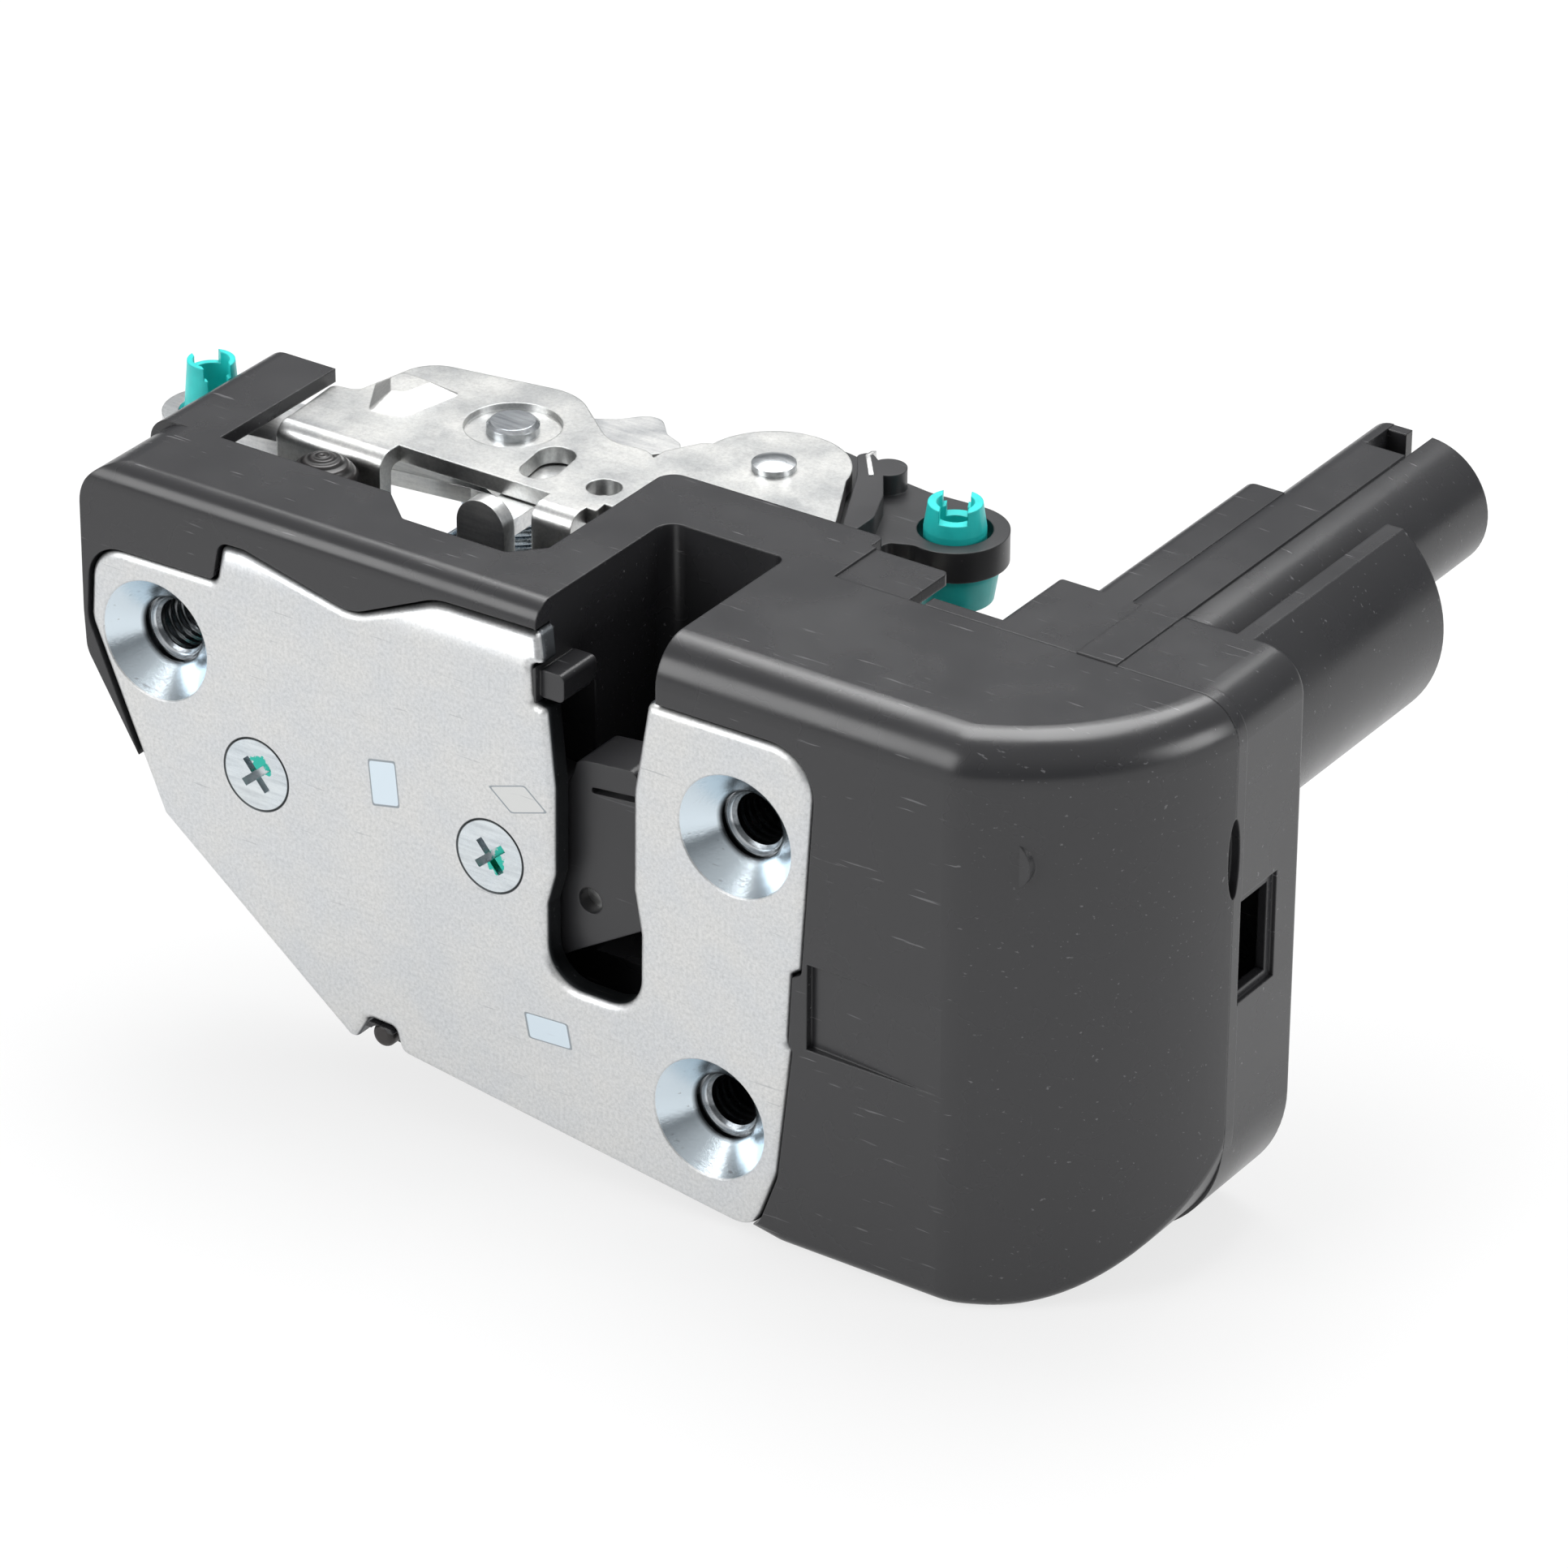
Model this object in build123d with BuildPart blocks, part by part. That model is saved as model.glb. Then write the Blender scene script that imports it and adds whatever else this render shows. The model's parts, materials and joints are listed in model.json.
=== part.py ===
"""Vehicle door latch with its power lock actuator, in millimetres.

The origin is the centre of the upper left mounting seat on the outer face of the latch plate.
X runs along the plate, Y goes back into the door and Z points up.
"""

import os
from math import cos, radians, sin, tan

from build123d import *

# Latch plate
plate_t = 3.0
seat_r = 8.0
seat_hole_r = 4.3
seat_depth = 4.6
seat_a = (0.0, 0.0)
seat_b = (85.1, 0.1)
seat_c = (81.55, -39.3)
plate_gap = 0.25

# Captive nuts, M8
nut_thread_r = 3.35
nut_chamfer_r = 4.2
nut_across = 13.0
nut_h = 6.5
nut_gap = 0.15

# Pivot points seen from the front, (x, z)
claw_at = (49.9, -13.75)
pawl_at = (15.0, -13.7)

# Pins on those points and the flush screws in them
pin_r = 4.5
pin_back_r = 3.6
pin_tail_r = 3.0
pin_gap = 0.06
screw_r = 2.5
screw_head_r = 4.8
screw_len = 12.0
screw_gap = 0.05
screw_head_gap = 0.1

# Front housing: tray behind the plate, striker pocket and actuator block
tray_back = 14.0
tray_wall = 2.0
housing_top = 21.8
block_back = 26.4
block_wall = 2.5
pocket_left = 56.9
pocket_right = 74.0
pocket_floor = -30.0
pocket_back = 26.9
pocket_wall = 1.6
roof_t = 1.8
block_right = 136.8
block_bottom = -53.2
edge_round = 5.5
strip_round = 3.0
corner_round = 18.0

# Rear cover with the motor housing and the connector neck
box_left = 102.8
box_back = 41.6
cover_wall = 2.0
motor_tube_r = 15.5
motor_tube_end = 75.0
motor_tube_z = 9.4
shaft_x = 120.3
shaft_z = 6.5
neck_x = 119.8
neck_z = 13.1
neck_r = 8.6
neck_bore_r = 6.9
neck_end = 98.0
socket_floor = neck_end - 16.0
blade_end = neck_end - 6.0
key_top = housing_top + 0.2
key_notch = 6.5
key_round = 3.5

# Back frame
frame_t = 2.2
frame_top = 20.0
web_front = 23.6
bend_r = 3.6

# Claw, drawn open; the mouth lies above the pivot
claw_y = 4.0
claw_t = 7.3
claw_r = 23.7
claw_low_r = 15.0
claw_tooth_r = 17.6
mouth_r = 5.4
mouth_at = 15.2
mouth_angle = 73.0
core_t = 3.4
core_inset = 1.5

# Pawl
pawl_y = 4.2
pawl_t = 6.3
pawl_len = 29.9
pawl_angle = 31.0
pawl_half = 2.4
pawl_hub_r = 7.6
lift_pin_r = 2.0
lift_pin_end = 21.6
lift_gap = 0.4

# Levers on the front rivet
rivet_at = (24.9, 39.8)
rivet_r = 2.5
rivet_head_r = 3.3
rivet_gap = 0.06
release_z = 15.4
lever_t = 2.2
outside_z = 11.8
ring_at = (-15.3, 31.8)
ring_r = 6.3
clip_r = 3.85
clip_gap = 0.08
tab_left = 31.0
tab_right = 38.0
tab_y = 19.8

# Lock lever on the rear rivet
lock_at = (57.5, 48.4)
lock_rivet_r = 2.2
lock_z = 13.0
lock_t = 4.0
lock_hub_r = 13.6
lock_ring_at = (81.0, 52.5)
lock_ring_r = 6.65
drive_pin_at = (82.3, 31.4)
drive_pin_r = 2.0

# Lock drive: worm, wheel and forked arm
wheel_at = (104.5, 15.0)
wheel_teeth = 24
worm_r = 4.6
mesh_gap = 0.3
wheel_t = 5.0
wheel_pin_r = 2.0
arm_t = 3.0
fork_past_pin = 5.4
arm_len = ((drive_pin_at[0] - wheel_at[0]) ** 2 + (drive_pin_at[1] - wheel_at[1]) ** 2) ** 0.5 + fork_past_pin
fork_slot = 4.9
motor_r = 12.0
motor_flat = 9.3
motor_front = 42.5
can_end = 68.5
motor_end = 72.8
motor_gap = 0.3
shaft_r = 1.0

# Springs
wire_r = 0.5

# Lower stop at the notch of the plate
stop_at = (32.9, -44.6)
stop_r = 1.6


def front(y):
    """Plane seen from the front at depth y; its own axes are X and Z."""
    return Plane.XZ.offset(-y)


def level(z):
    """Horizontal plane at height z."""
    return Plane.XY.offset(z)


def rounded(corners):
    """Closed outline through (a, b, radius) corners, each rounded as far as its two sides allow."""
    radii = []
    for i, (a, b, r) in enumerate(corners):
        before = Vector(*corners[i - 1][:2]) - Vector(a, b)
        after = Vector(*corners[(i + 1) % len(corners)][:2]) - Vector(a, b)
        room = 0.48 * min(before.length, after.length)
        radii.append(min(r, room * tan(radians(before.get_angle(after) / 2))))
    FilletPolyline(*[(a, b) for a, b, r in corners], radius=radii, close=True)


def polar(centre, r, angle):
    """Point at radius r and angle in degrees about a centre."""
    return (centre[0] + r * cos(radians(angle)), centre[1] + r * sin(radians(angle)))


def dome_point(r, z, top):
    """Point halfway along the arc from the edge (r, z) to a dome's top on its axis."""
    centre = ((top * top - z * z) - r * r) / (2 * (top - z))
    half = Vector(r, z - centre).get_angle(Vector(0, 1)) / 2
    return ((top - centre) * sin(radians(half)), centre + (top - centre) * cos(radians(half)))


def finish(part, name):
    """Labels a finished piece and writes it out."""
    part.label = name
    export_step(part, f"parts/{name}.step")


def flat_from_front(corners, y, depth):
    """Plate cut to a rounded outline seen from the front, from y back by depth."""
    with BuildPart() as piece:
        with BuildSketch(front(y)):
            with BuildLine():
                rounded(corners)
            make_face()
        extrude(amount=-depth)
    return piece.part


def flat_from_top(corners, z, height):
    """Plate cut to a rounded outline seen from above, from z up by height."""
    with BuildPart() as piece:
        with BuildSketch(level(z)):
            with BuildLine():
                rounded(corners)
            make_face()
        extrude(amount=height)
    return piece.part


def rod_along_y(centre, r, y0, y1):
    """Round bar along Y from y0 to y1."""
    with BuildPart() as piece:
        with BuildSketch(front(y0)):
            with Locations(centre):
                Circle(r)
        extrude(amount=y0 - y1)
    return piece.part


def rod_along_z(centre, r, z0, z1):
    """Round bar along Z from z0 to z1."""
    with BuildPart() as piece:
        with BuildSketch(level(z0)):
            with Locations(centre):
                Circle(r)
        extrude(amount=z1 - z0)
    return piece.part


def block(x0, x1, y0, y1, z0, z1):
    """Plain box between two corners."""
    with BuildPart() as piece:
        with BuildSketch(level(z0)):
            with Locations(((x0 + x1) / 2, (y0 + y1) / 2)):
                Rectangle(x1 - x0, y1 - y0)
        extrude(amount=z1 - z0)
    return piece.part


os.makedirs("parts", exist_ok=True)
seats = [seat_a, seat_b, seat_c]

# Latch plate: one outline with the striker slot open at the top
plate_outline = [
    (-10.1, 0.3, 4),
    (-9.4, 10.6, 5),
    (9.4, 10.9, 1),
    (10.5, 16.3, 1.5),
    (14.0, 16.4, 3),
    (30.0, 12.6, 6),
    (42.5, 18.3, 8),
    (57.3, 18.6, 1),
    (57.75, 14.2, 0.6),
    (56.2, 13.8, 0.6),
    (56.4, 8.9, 0.6),
    (58.3, 8.4, 0.6),
    (59.3, -1.9, 6),
    (59.2, -13.7, 3),
    (58.0, -18.0, 2),
    (58.0, -28.3, 5),
    (71.3, -28.3, 4.5),
    (71.4, -17.5, 3),
    (70.4, -11.7, 3),
    (70.5, 1.6, 6),
    (72.6, 14.0, 1),
    (96.3, 14.2, 6),
    (94.4, -15.0, 0.5),
    (93.1, -15.8, 0.4),
    (92.6, -25.0, 0.4),
    (93.2, -26.0, 0.5),
    (91.2, -43.9, 5),
    (87.9, -53.0, 4),
    (35.9, -45.9, 1.5),
    (34.9, -42.8, 0.8),
    (31.0, -42.6, 0.8),
    (28.7, -46.6, 0.8),
    (0.2, -23.9, 0.8),
]
with BuildPart() as latch_plate:
    add(flat_from_front(plate_outline, 0, plate_t))
    fillet(latch_plate.edges().filter_by(lambda e: e.center().Y < 0.01 and e.center().Z > 13.95 and e.center().X > 11), 1.2)
    for seat in seats:
        add(rod_along_y(seat, seat_hole_r + plate_t, plate_t, seat_depth))
    with Locations(*[Plane((x, 0, z), x_dir=(1, 0, 0), z_dir=(0, -1, 0)) for x, z in seats]):
        CounterSinkHole(seat_hole_r, seat_r, seat_depth + 1, 90)
    with Locations(*[Plane((x, 0, z), x_dir=(1, 0, 0), z_dir=(0, -1, 0)) for x, z in (claw_at, pawl_at)]):
        CounterSinkHole(screw_r + screw_gap, screw_head_r + screw_head_gap, plate_t + 1, 90)
finish(latch_plate.part, "latch_plate")

# Flush screws with a cross recess
with BuildPart() as face_screws:
    for x, z in (claw_at, pawl_at):
        with BuildSketch(Plane((x, 0, z), x_dir=(1, 0, 0), z_dir=(0, 0, 1))):
            with BuildLine():
                Polyline(
                    (0, 0),
                    (screw_head_r, 0),
                    (screw_r, screw_head_r - screw_r),
                    (screw_r, screw_len),
                    (0, screw_len),
                    close=True,
                )
            make_face()
        revolve(axis=Axis((x, 0, z), (0, 1, 0)))
        with BuildSketch(front(0)):
            with Locations((x, z)):
                Rectangle(5.0, 1.0, rotation=40)
                Rectangle(5.0, 1.0, rotation=130)
        extrude(amount=-1.6, mode=Mode.SUBTRACT)
finish(face_screws.part, "face_screws")

# Captive nuts behind the seats
with BuildPart() as mount_nuts:
    with BuildSketch(front(seat_depth)):
        with Locations(*seats):
            RegularPolygon(nut_across / 2, 6, major_radius=False)
            Circle(nut_thread_r, mode=Mode.SUBTRACT)
    extrude(amount=-nut_h)
    chamfer(
        mount_nuts.edges()
        .filter_by(GeomType.CIRCLE)
        .filter_by(lambda e: abs(e.center().Y - seat_depth) < 0.01),
        nut_chamfer_r - nut_thread_r,
    )
finish(mount_nuts.part, "mount_nuts")

# Actuator block of the front housing: plan outline cut by the front outline, top edge rounded
with BuildPart() as block_form:
    with BuildSketch(level(block_bottom)):
        with BuildLine():
            Polyline((115.5, 0), (pocket_right, 0), (pocket_right, block_back), (block_right, block_back))
            ThreePointArc((block_right, block_back), (129.6, 10.6), (115.5, 0))
        make_face()
    extrude(amount=housing_top - block_bottom)
    fillet(block_form.edges().filter_by(Axis.Z).filter_by(lambda e: abs(e.center().X - 115.5) < 0.1), 8)
    with BuildSketch(front(0)):
        with BuildLine():
            rounded(
                [
                    (pocket_right, housing_top, 0),
                    (block_right, housing_top, 0),
                    (block_right, block_bottom, corner_round),
                    (91.7, block_bottom, 6),
                    (pocket_right, -50.0, 0),
                ]
            )
        make_face()
    extrude(amount=-block_back, mode=Mode.INTERSECT)
    top_edges = block_form.faces().sort_by(Axis.Z)[-1].edges()
    fillet(top_edges.filter_by(lambda e: e.center().X > pocket_right + 1 and e.center().Y < block_back - 1), edge_round)
    bottom_edges = block_form.edges().filter_by(lambda e: e.center().Z < block_bottom + 8 and e.center().Y < 13)
    fillet(bottom_edges.filter_by(lambda e: e.center().Y < 0.1 and e.center().X > 84), 1.6)

# Hollow of the actuator block
with BuildPart() as block_hollow:
    with BuildSketch(level(block_bottom)):
        with BuildLine():
            Polyline((115.0, block_wall), (93.0, block_wall), (93.0, block_back + 1), (134.2, block_back + 1))
            ThreePointArc((134.2, block_back + 1), (127.6, 12.6), (115.0, block_wall))
        make_face()
    extrude(amount=housing_top - block_bottom)
    with BuildSketch(front(0)):
        with BuildLine():
            rounded(
                [
                    (90, housing_top - block_wall, 0),
                    (block_right - block_wall, housing_top - block_wall, 3),
                    (block_right - block_wall, block_bottom + block_wall, corner_round - block_wall),
                    (90, block_bottom + block_wall, 0),
                ]
            )
        make_face()
    extrude(amount=-block_back - 1, mode=Mode.INTERSECT)

# Lens-shaped gap in the seam of block and cover
with BuildPart() as seam_gap:
    with BuildSketch(Plane.YZ.offset(block_right - 1.2)):
        with Locations((block_back, 1.6)):
            Ellipse(1.1, 5.3)
    extrude(amount=2)

tray_outline = [
    (-10.9, 1.2, 6),
    (-10.9, housing_top, 6),
    (80.0, housing_top, 0),
    (80.0, -49.5, 0),
    (35.5, -43.6, 0.5),
    (29.2, -43.6, 1.0),
    (1.9, -21.2, 0.5),
    (0.4, -22.6, 0.5),
    (-10.6, -4.2, 4),
]
lift_pin_at = (tab_left - lift_gap - lift_pin_r, 2.5)
lift_radius = ((lift_pin_at[0] - pawl_at[0]) ** 2 + (lift_pin_at[1] - pawl_at[1]) ** 2) ** 0.5
with BuildPart() as front_housing:
    add(flat_from_front(tray_outline, 0, tray_back))
    with BuildSketch(Plane.YZ.offset(-20)):
        with BuildLine():
            rounded([(0, -60, 0), (0, housing_top, strip_round), (tray_back, housing_top, 0), (tray_back, -60, 0)])
        make_face()
    extrude(amount=120, mode=Mode.INTERSECT)
    # room for the rounded edge of the block
    add(
        block(pocket_right - 1, 110, -1, tray_back + 1, housing_top - edge_round - 1, housing_top + 1),
        mode=Mode.SUBTRACT,
    )
    # the strip steps forward behind the flange
    add(
        flat_from_top([(25.3, 14.2, 0), (30.8, 9.3, 1), (46.0, 9.3, 1), (50.5, 14.2, 0)], 14.5, 10),
        mode=Mode.SUBTRACT,
    )
    add(block_form.part)
    # striker pocket walls
    add(block(pocket_left - pocket_wall, 76, tray_back - 2, pocket_back + pocket_wall, pocket_floor - 2, housing_top))
    # roof over the levers behind the pocket
    add(
        flat_from_top(
            [(49.5, 10, 0), (49.5, 37.6, 2.5), (80.4, 38.0, 0.8), (80.4, 35.3, 0), (91.3, 35.3, 0.8), (91.3, 24, 0), (70, 10, 0)],
            housing_top - roof_t,
            roof_t,
        )
    )
    # left arm: an angle with a side wall
    add(flat_from_front([(-10.9, 15.0, 0), (-10.9, housing_top, 6), (0, housing_top, 0), (0, 20, 0), (-9.2, 20, 4), (-9.2, 15, 0)], tray_back, 23))
    # shelf of the rubber buffer
    add(block(6.8, 16.8, tray_back, 23.2, 9.0, 12.0))
    # hollow behind the plate, with the claw and pawl in it
    with BuildSketch(front(plate_t)):
        with Locations(claw_at):
            Circle(claw_r + 0.7)
        with BuildLine():
            rounded([(5.5, -22.6, 3), (5.5, -5.5, 3), (17.0, 11.9, 3), (50.5, 11.9, 3), (50.5, -22.6, 0)])
        make_face()
    extrude(amount=-(tray_back - tray_wall - plate_t), mode=Mode.SUBTRACT)
    # slot for the lift pin
    with BuildSketch(front(plate_t)):
        with BuildLine():
            s1 = CenterArc(pawl_at, lift_radius + lift_pin_r + 0.5, 37.5, 34.5)
            s2 = CenterArc(pawl_at, lift_radius - lift_pin_r - 0.5, 37.5, 34.5)
            Line(s1 @ 0, s2 @ 0)
            Line(s1 @ 1, s2 @ 1)
        make_face()
    extrude(amount=-tray_back, mode=Mode.SUBTRACT)
    # striker pocket, open to the front and at the top
    add(
        flat_from_top(
            [(pocket_left, -1, 0), (pocket_left, pocket_back, 2.5), (pocket_right, pocket_back, 1.5), (pocket_right, -1, 0)],
            pocket_floor,
            housing_top + 1 - pocket_floor,
        ),
        mode=Mode.SUBTRACT,
    )
    # hollow of the block and its back wall
    add(block_hollow.part, mode=Mode.SUBTRACT)
    add(block(77, 97, tray_back, block_back - 2, -46, housing_top - block_wall), mode=Mode.SUBTRACT)
    # bosses with hexagon pockets for the nuts and a way through for long bolts
    for x, z in seats:
        add(rod_along_y((x, z), 9.2, plate_t, tray_back))
    with BuildSketch(front(plate_t)):
        with Locations(*seats):
            Circle(seat_hole_r + plate_t + plate_gap)
    extrude(amount=plate_t - seat_depth, mode=Mode.SUBTRACT)
    with BuildSketch(front(seat_depth)):
        with Locations(*seats):
            RegularPolygon(nut_across / 2 + nut_gap, 6, major_radius=False)
    extrude(amount=-nut_h, mode=Mode.SUBTRACT)
    with BuildSketch(front(seat_depth)):
        with Locations(*seats):
            Circle(seat_hole_r)
    extrude(amount=-tray_back, mode=Mode.SUBTRACT)
    # seat of the lower stop
    add(rod_along_y(stop_at, stop_r + 1.4, plate_t + 1.5, tray_back))
    add(rod_along_y(stop_at, stop_r + 0.02, 0, tray_back - 1.5), mode=Mode.SUBTRACT)
    # seats of the two pins
    with BuildSketch(front(plate_t)):
        with Locations(claw_at, pawl_at):
            Circle(pin_r + pin_gap)
    extrude(amount=-tray_back, mode=Mode.SUBTRACT)
    # sunk seat of the latch plate
    with BuildSketch(front(0)):
        with BuildLine():
            rounded(plate_outline)
        make_face()
        offset(amount=plate_gap)
    extrude(amount=-plate_t, mode=Mode.SUBTRACT)
    # nose that guides the striker, in the notch of the plate
    add(flat_from_front([(56.6, 9.6, 0.8), (60.3, 9.6, 0.8), (60.3, 13.2, 0.8), (56.6, 13.2, 0.8)], 0.9, 6.6))
    # tapered relief beside the plate
    add(flat_from_top([(95.4, -0.1, 0), (95.4, 1.0, 0), (116.0, -0.1, 0)], -25.0, 11.5), mode=Mode.SUBTRACT)
    # sunk field of the roof
    add(block(81.1, 92, 26.4, 36, housing_top - 0.3, housing_top + 1), mode=Mode.SUBTRACT)
    add(seam_gap.part, mode=Mode.SUBTRACT)
    # way out for the forked arm
    add(block(80.5, 93.6, 20, 30, 8.3, 12.7), mode=Mode.SUBTRACT)
    # bearing of the worm shaft, seats of the wheel's axle
    add(rod_along_y((shaft_x, shaft_z), 3.2, 3.5, 9.0))
    add(rod_along_y((shaft_x, shaft_z), shaft_r + pin_gap, 6.5, 9.0), mode=Mode.SUBTRACT)
    add(rod_along_z(wheel_at, 4.2, 12.4, housing_top - 1))
    add(block(97, 109.5, 1.5, 21, 0.4, 3.6))
    add(rod_along_z(wheel_at, wheel_pin_r + 0.02, 1.4, 17.0), mode=Mode.SUBTRACT)
finish(front_housing.part, "front_housing")

# Rear cover: lip, deep box, motor housing and connector neck
with BuildPart() as rear_cover:
    add(
        flat_from_front(
            [
                (93.7, housing_top, 0),
                (block_right, housing_top, edge_round),
                (block_right, block_bottom, corner_round),
                (93.7, block_bottom, 0),
            ],
            block_back,
            cover_wall,
        )
    )
    add(
        flat_from_front(
            [
                (box_left, housing_top, 0.8),
                (block_right - 0.2, housing_top, edge_round),
                (block_right - 0.2, block_bottom + 0.2, corner_round),
                (box_left, block_bottom + 0.2, 0.8),
            ],
            block_back,
            box_back - block_back,
        )
    )
    fillet(
        rear_cover.edges().filter_by(lambda e: abs(e.center().Y - box_back) < 0.01 and e.center().X > box_left + 1),
        0.8,
    )
    # motor housing: round below, flat on top, with a valley on each side of the neck
    with BuildSketch(front(box_back - 1)):
        with Locations((shaft_x, motor_tube_z)):
            Circle(motor_tube_r)
        with Locations((shaft_x, housing_top + motor_tube_r)):
            Rectangle(3 * motor_tube_r, 2 * motor_tube_r, mode=Mode.SUBTRACT)
        with BuildLine():
            rounded([(107.2, motor_tube_z, 0), (107.2, housing_top, 2.2), (shaft_x, housing_top, 0), (shaft_x, motor_tube_z, 0)])
        make_face()
        with Locations((shaft_x, housing_top)):
            Rectangle(14.2, 2 * (housing_top - 16.8), mode=Mode.SUBTRACT)
    extrude(amount=box_back - 1 - motor_tube_end)
    add(rod_along_y((neck_x, neck_z), neck_r, box_back - 1, neck_end))
    # flat key strip level with the roof: squares the upper left of the neck, notched at its end
    with BuildSketch(front(box_back - 1)):
        with BuildLine():
            rounded(
                [
                    (neck_x - neck_r, neck_z, 0),
                    (neck_x - neck_r, key_top, key_round),
                    (neck_x + 0.4, key_top, 0),
                    (neck_x + 0.4, neck_z, 0),
                ]
            )
        make_face()
    extrude(amount=box_back - 1 - neck_end)
    add(block(neck_x - neck_r + key_round, neck_x + 0.4, block_back, box_back, housing_top - 1, key_top))
    # hollow of the box
    add(
        flat_from_front(
            [
                (box_left + cover_wall, housing_top - cover_wall, 1),
                (block_right - cover_wall, housing_top - cover_wall, edge_round - cover_wall),
                (block_right - cover_wall, block_bottom + cover_wall, corner_round - cover_wall),
                (box_left + cover_wall, block_bottom + cover_wall, 1),
            ],
            block_back - 1,
            box_back - cover_wall - block_back + 1,
        ),
        mode=Mode.SUBTRACT,
    )
    # seat of the motor
    with BuildSketch(front(box_back - cover_wall - 1)):
        with Locations((shaft_x, shaft_z)):
            Circle(motor_r + motor_gap)
            Rectangle(3 * motor_r, 2 * (motor_flat + motor_gap), mode=Mode.INTERSECT)
    extrude(amount=box_back - cover_wall - 1 - motor_end - motor_gap, mode=Mode.SUBTRACT)
    # connector socket
    add(rod_along_y((neck_x, neck_z), neck_bore_r, socket_floor, neck_end + 1), mode=Mode.SUBTRACT)
    add(block(neck_x - 5, neck_x + 0.4, neck_end - key_notch, neck_end + 1, neck_z + 5.4, key_top + 1), mode=Mode.SUBTRACT)
    add(block(neck_x - 5.2, neck_x - 2.4, neck_end - 1.5, neck_end, neck_z + 5.0, key_top - 0.1))
    add(seam_gap.part, mode=Mode.SUBTRACT)
    # side window in its sunk frame
    add(block(block_right - 0.8, block_right + 1, 28.1, 36.5, -18.7, -4.5), mode=Mode.SUBTRACT)
    add(block(block_right - 4, block_right + 1, 28.6, 35.4, -17.6, -5.7), mode=Mode.SUBTRACT)
    # way out for the forked arm
    add(block(93, box_left, 20, 30, 8.3, 12.7), mode=Mode.SUBTRACT)
    # seats of the terminal blades
    for dx in (-3.0, 0.0, 3.0):
        for dz in (-1.8, 1.8):
            add(
                block(neck_x + dx - 0.8, neck_x + dx + 0.8, socket_floor - 4, blade_end - 2, neck_z + dz - 0.4, neck_z + dz + 0.4),
                mode=Mode.SUBTRACT,
            )
finish(rear_cover.part, "rear_cover")

# Terminal blades
with BuildPart() as terminal_pins:
    for dx in (-3.0, 0.0, 3.0):
        for dz in (-1.8, 1.8):
            add(block(neck_x + dx - 0.8, neck_x + dx + 0.8, socket_floor - 4, blade_end, neck_z + dz - 0.4, neck_z + dz + 0.4))
    chamfer(terminal_pins.edges().filter_by(lambda e: abs(e.center().Y - blade_end) < 0.01), 0.25)
finish(terminal_pins.part, "terminal_pins")

# Back frame: flange on top, bend and web
with BuildPart() as back_frame:
    add(
        flat_from_top(
            [
                (1.0, 27.0, 0),
                (0.2, 36.2, 1.0),
                (3.6, 36.6, 1.5),
                (6.0, 48.0, 5),
                (26.5, 51.4, 8),
                (37.0, 42.8, 6),
                (44.5, 44.0, 4),
                (46.5, 27.0, 0),
            ],
            frame_top - frame_t,
            frame_t,
        )
    )
    add(
        flat_from_top(
            [
                (44.0, 29.0, 0),
                (44.0, 44.5, 0),
                (46.8, 49.5, 2),
                (57.0, 50.0, 0),
                (65.6, 52.4, 3),
                (71.4, 41.2, 3),
                (73.5, 36.0, 1),
                (73.5, 29.0, 0),
            ],
            frame_top - frame_t,
            frame_t,
        )
    )
    add(rod_along_z((57.2, 48.8), 9.5, frame_top - frame_t, frame_top))
    # bend between flange and web
    with BuildSketch(Plane.YZ.offset(1.0)):
        with BuildLine():
            rounded(
                [
                    (28.0, frame_top, 0),
                    (web_front, frame_top, bend_r),
                    (web_front, 12.0, 0),
                    (web_front + frame_t, 12.0, 0),
                    (web_front + frame_t, frame_top - frame_t, bend_r - frame_t),
                    (28.0, frame_top - frame_t, 0),
                ]
            )
        make_face()
    extrude(amount=44.0)
    add(
        flat_from_front(
            [
                (1.0, 14.0, 0),
                (45.0, 14.0, 0),
                (45.0, 8.0, 1),
                (pocket_left - pocket_wall, 8.0, 0),
                (pocket_left - pocket_wall, -36.0, 3),
                (26.0, -38.0, 4),
                (1.0, -19.0, 4),
            ],
            web_front,
            frame_t,
        )
    )
    # window for the release lever
    add(block(16.7, 39.3, web_front - 1, 27.6, 9.0, frame_top + 1), mode=Mode.SUBTRACT)
    # embossed seat and holes of the flange
    with BuildSketch(level(frame_top - 0.8)):
        with Locations(rivet_at):
            Circle(6.1)
    extrude(amount=2, mode=Mode.SUBTRACT)
    with BuildSketch(level(frame_top - frame_t - 1)):
        with Locations(rivet_at):
            Circle(rivet_r)
        with Locations(lock_at):
            Circle(lock_rivet_r)
        with Locations((34.3, 34.0)):
            SlotOverall(9.0, 5.0, rotation=98)
        with Locations((43.7, 32.5)):
            Circle(2.2)
    extrude(amount=frame_t + 2, mode=Mode.SUBTRACT)
    # raised bridge
    with BuildSketch(level(frame_top)):
        with BuildLine():
            rounded([(8.0, 33.0, 1.0), (4.2, 39.6, 1.5), (6.0, 43.8, 1.2), (14.6, 43.0, 0.6), (12.6, 34.0, 1.0)])
        make_face()
    with BuildSketch(level(frame_top + 1.5)):
        with BuildLine():
            rounded([(8.9, 36.4, 0.4), (6.6, 39.4, 0.6), (7.2, 41.6, 0.5), (11.6, 41.2, 0.3), (10.6, 37.2, 0.4)])
        make_face()
    loft()
    # holes for the pin tails
    with BuildSketch(front(web_front - 1)):
        with Locations(claw_at, pawl_at):
            Circle(pin_tail_r)
    extrude(amount=-frame_t - 2, mode=Mode.SUBTRACT)
finish(back_frame.part, "back_frame")


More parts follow.
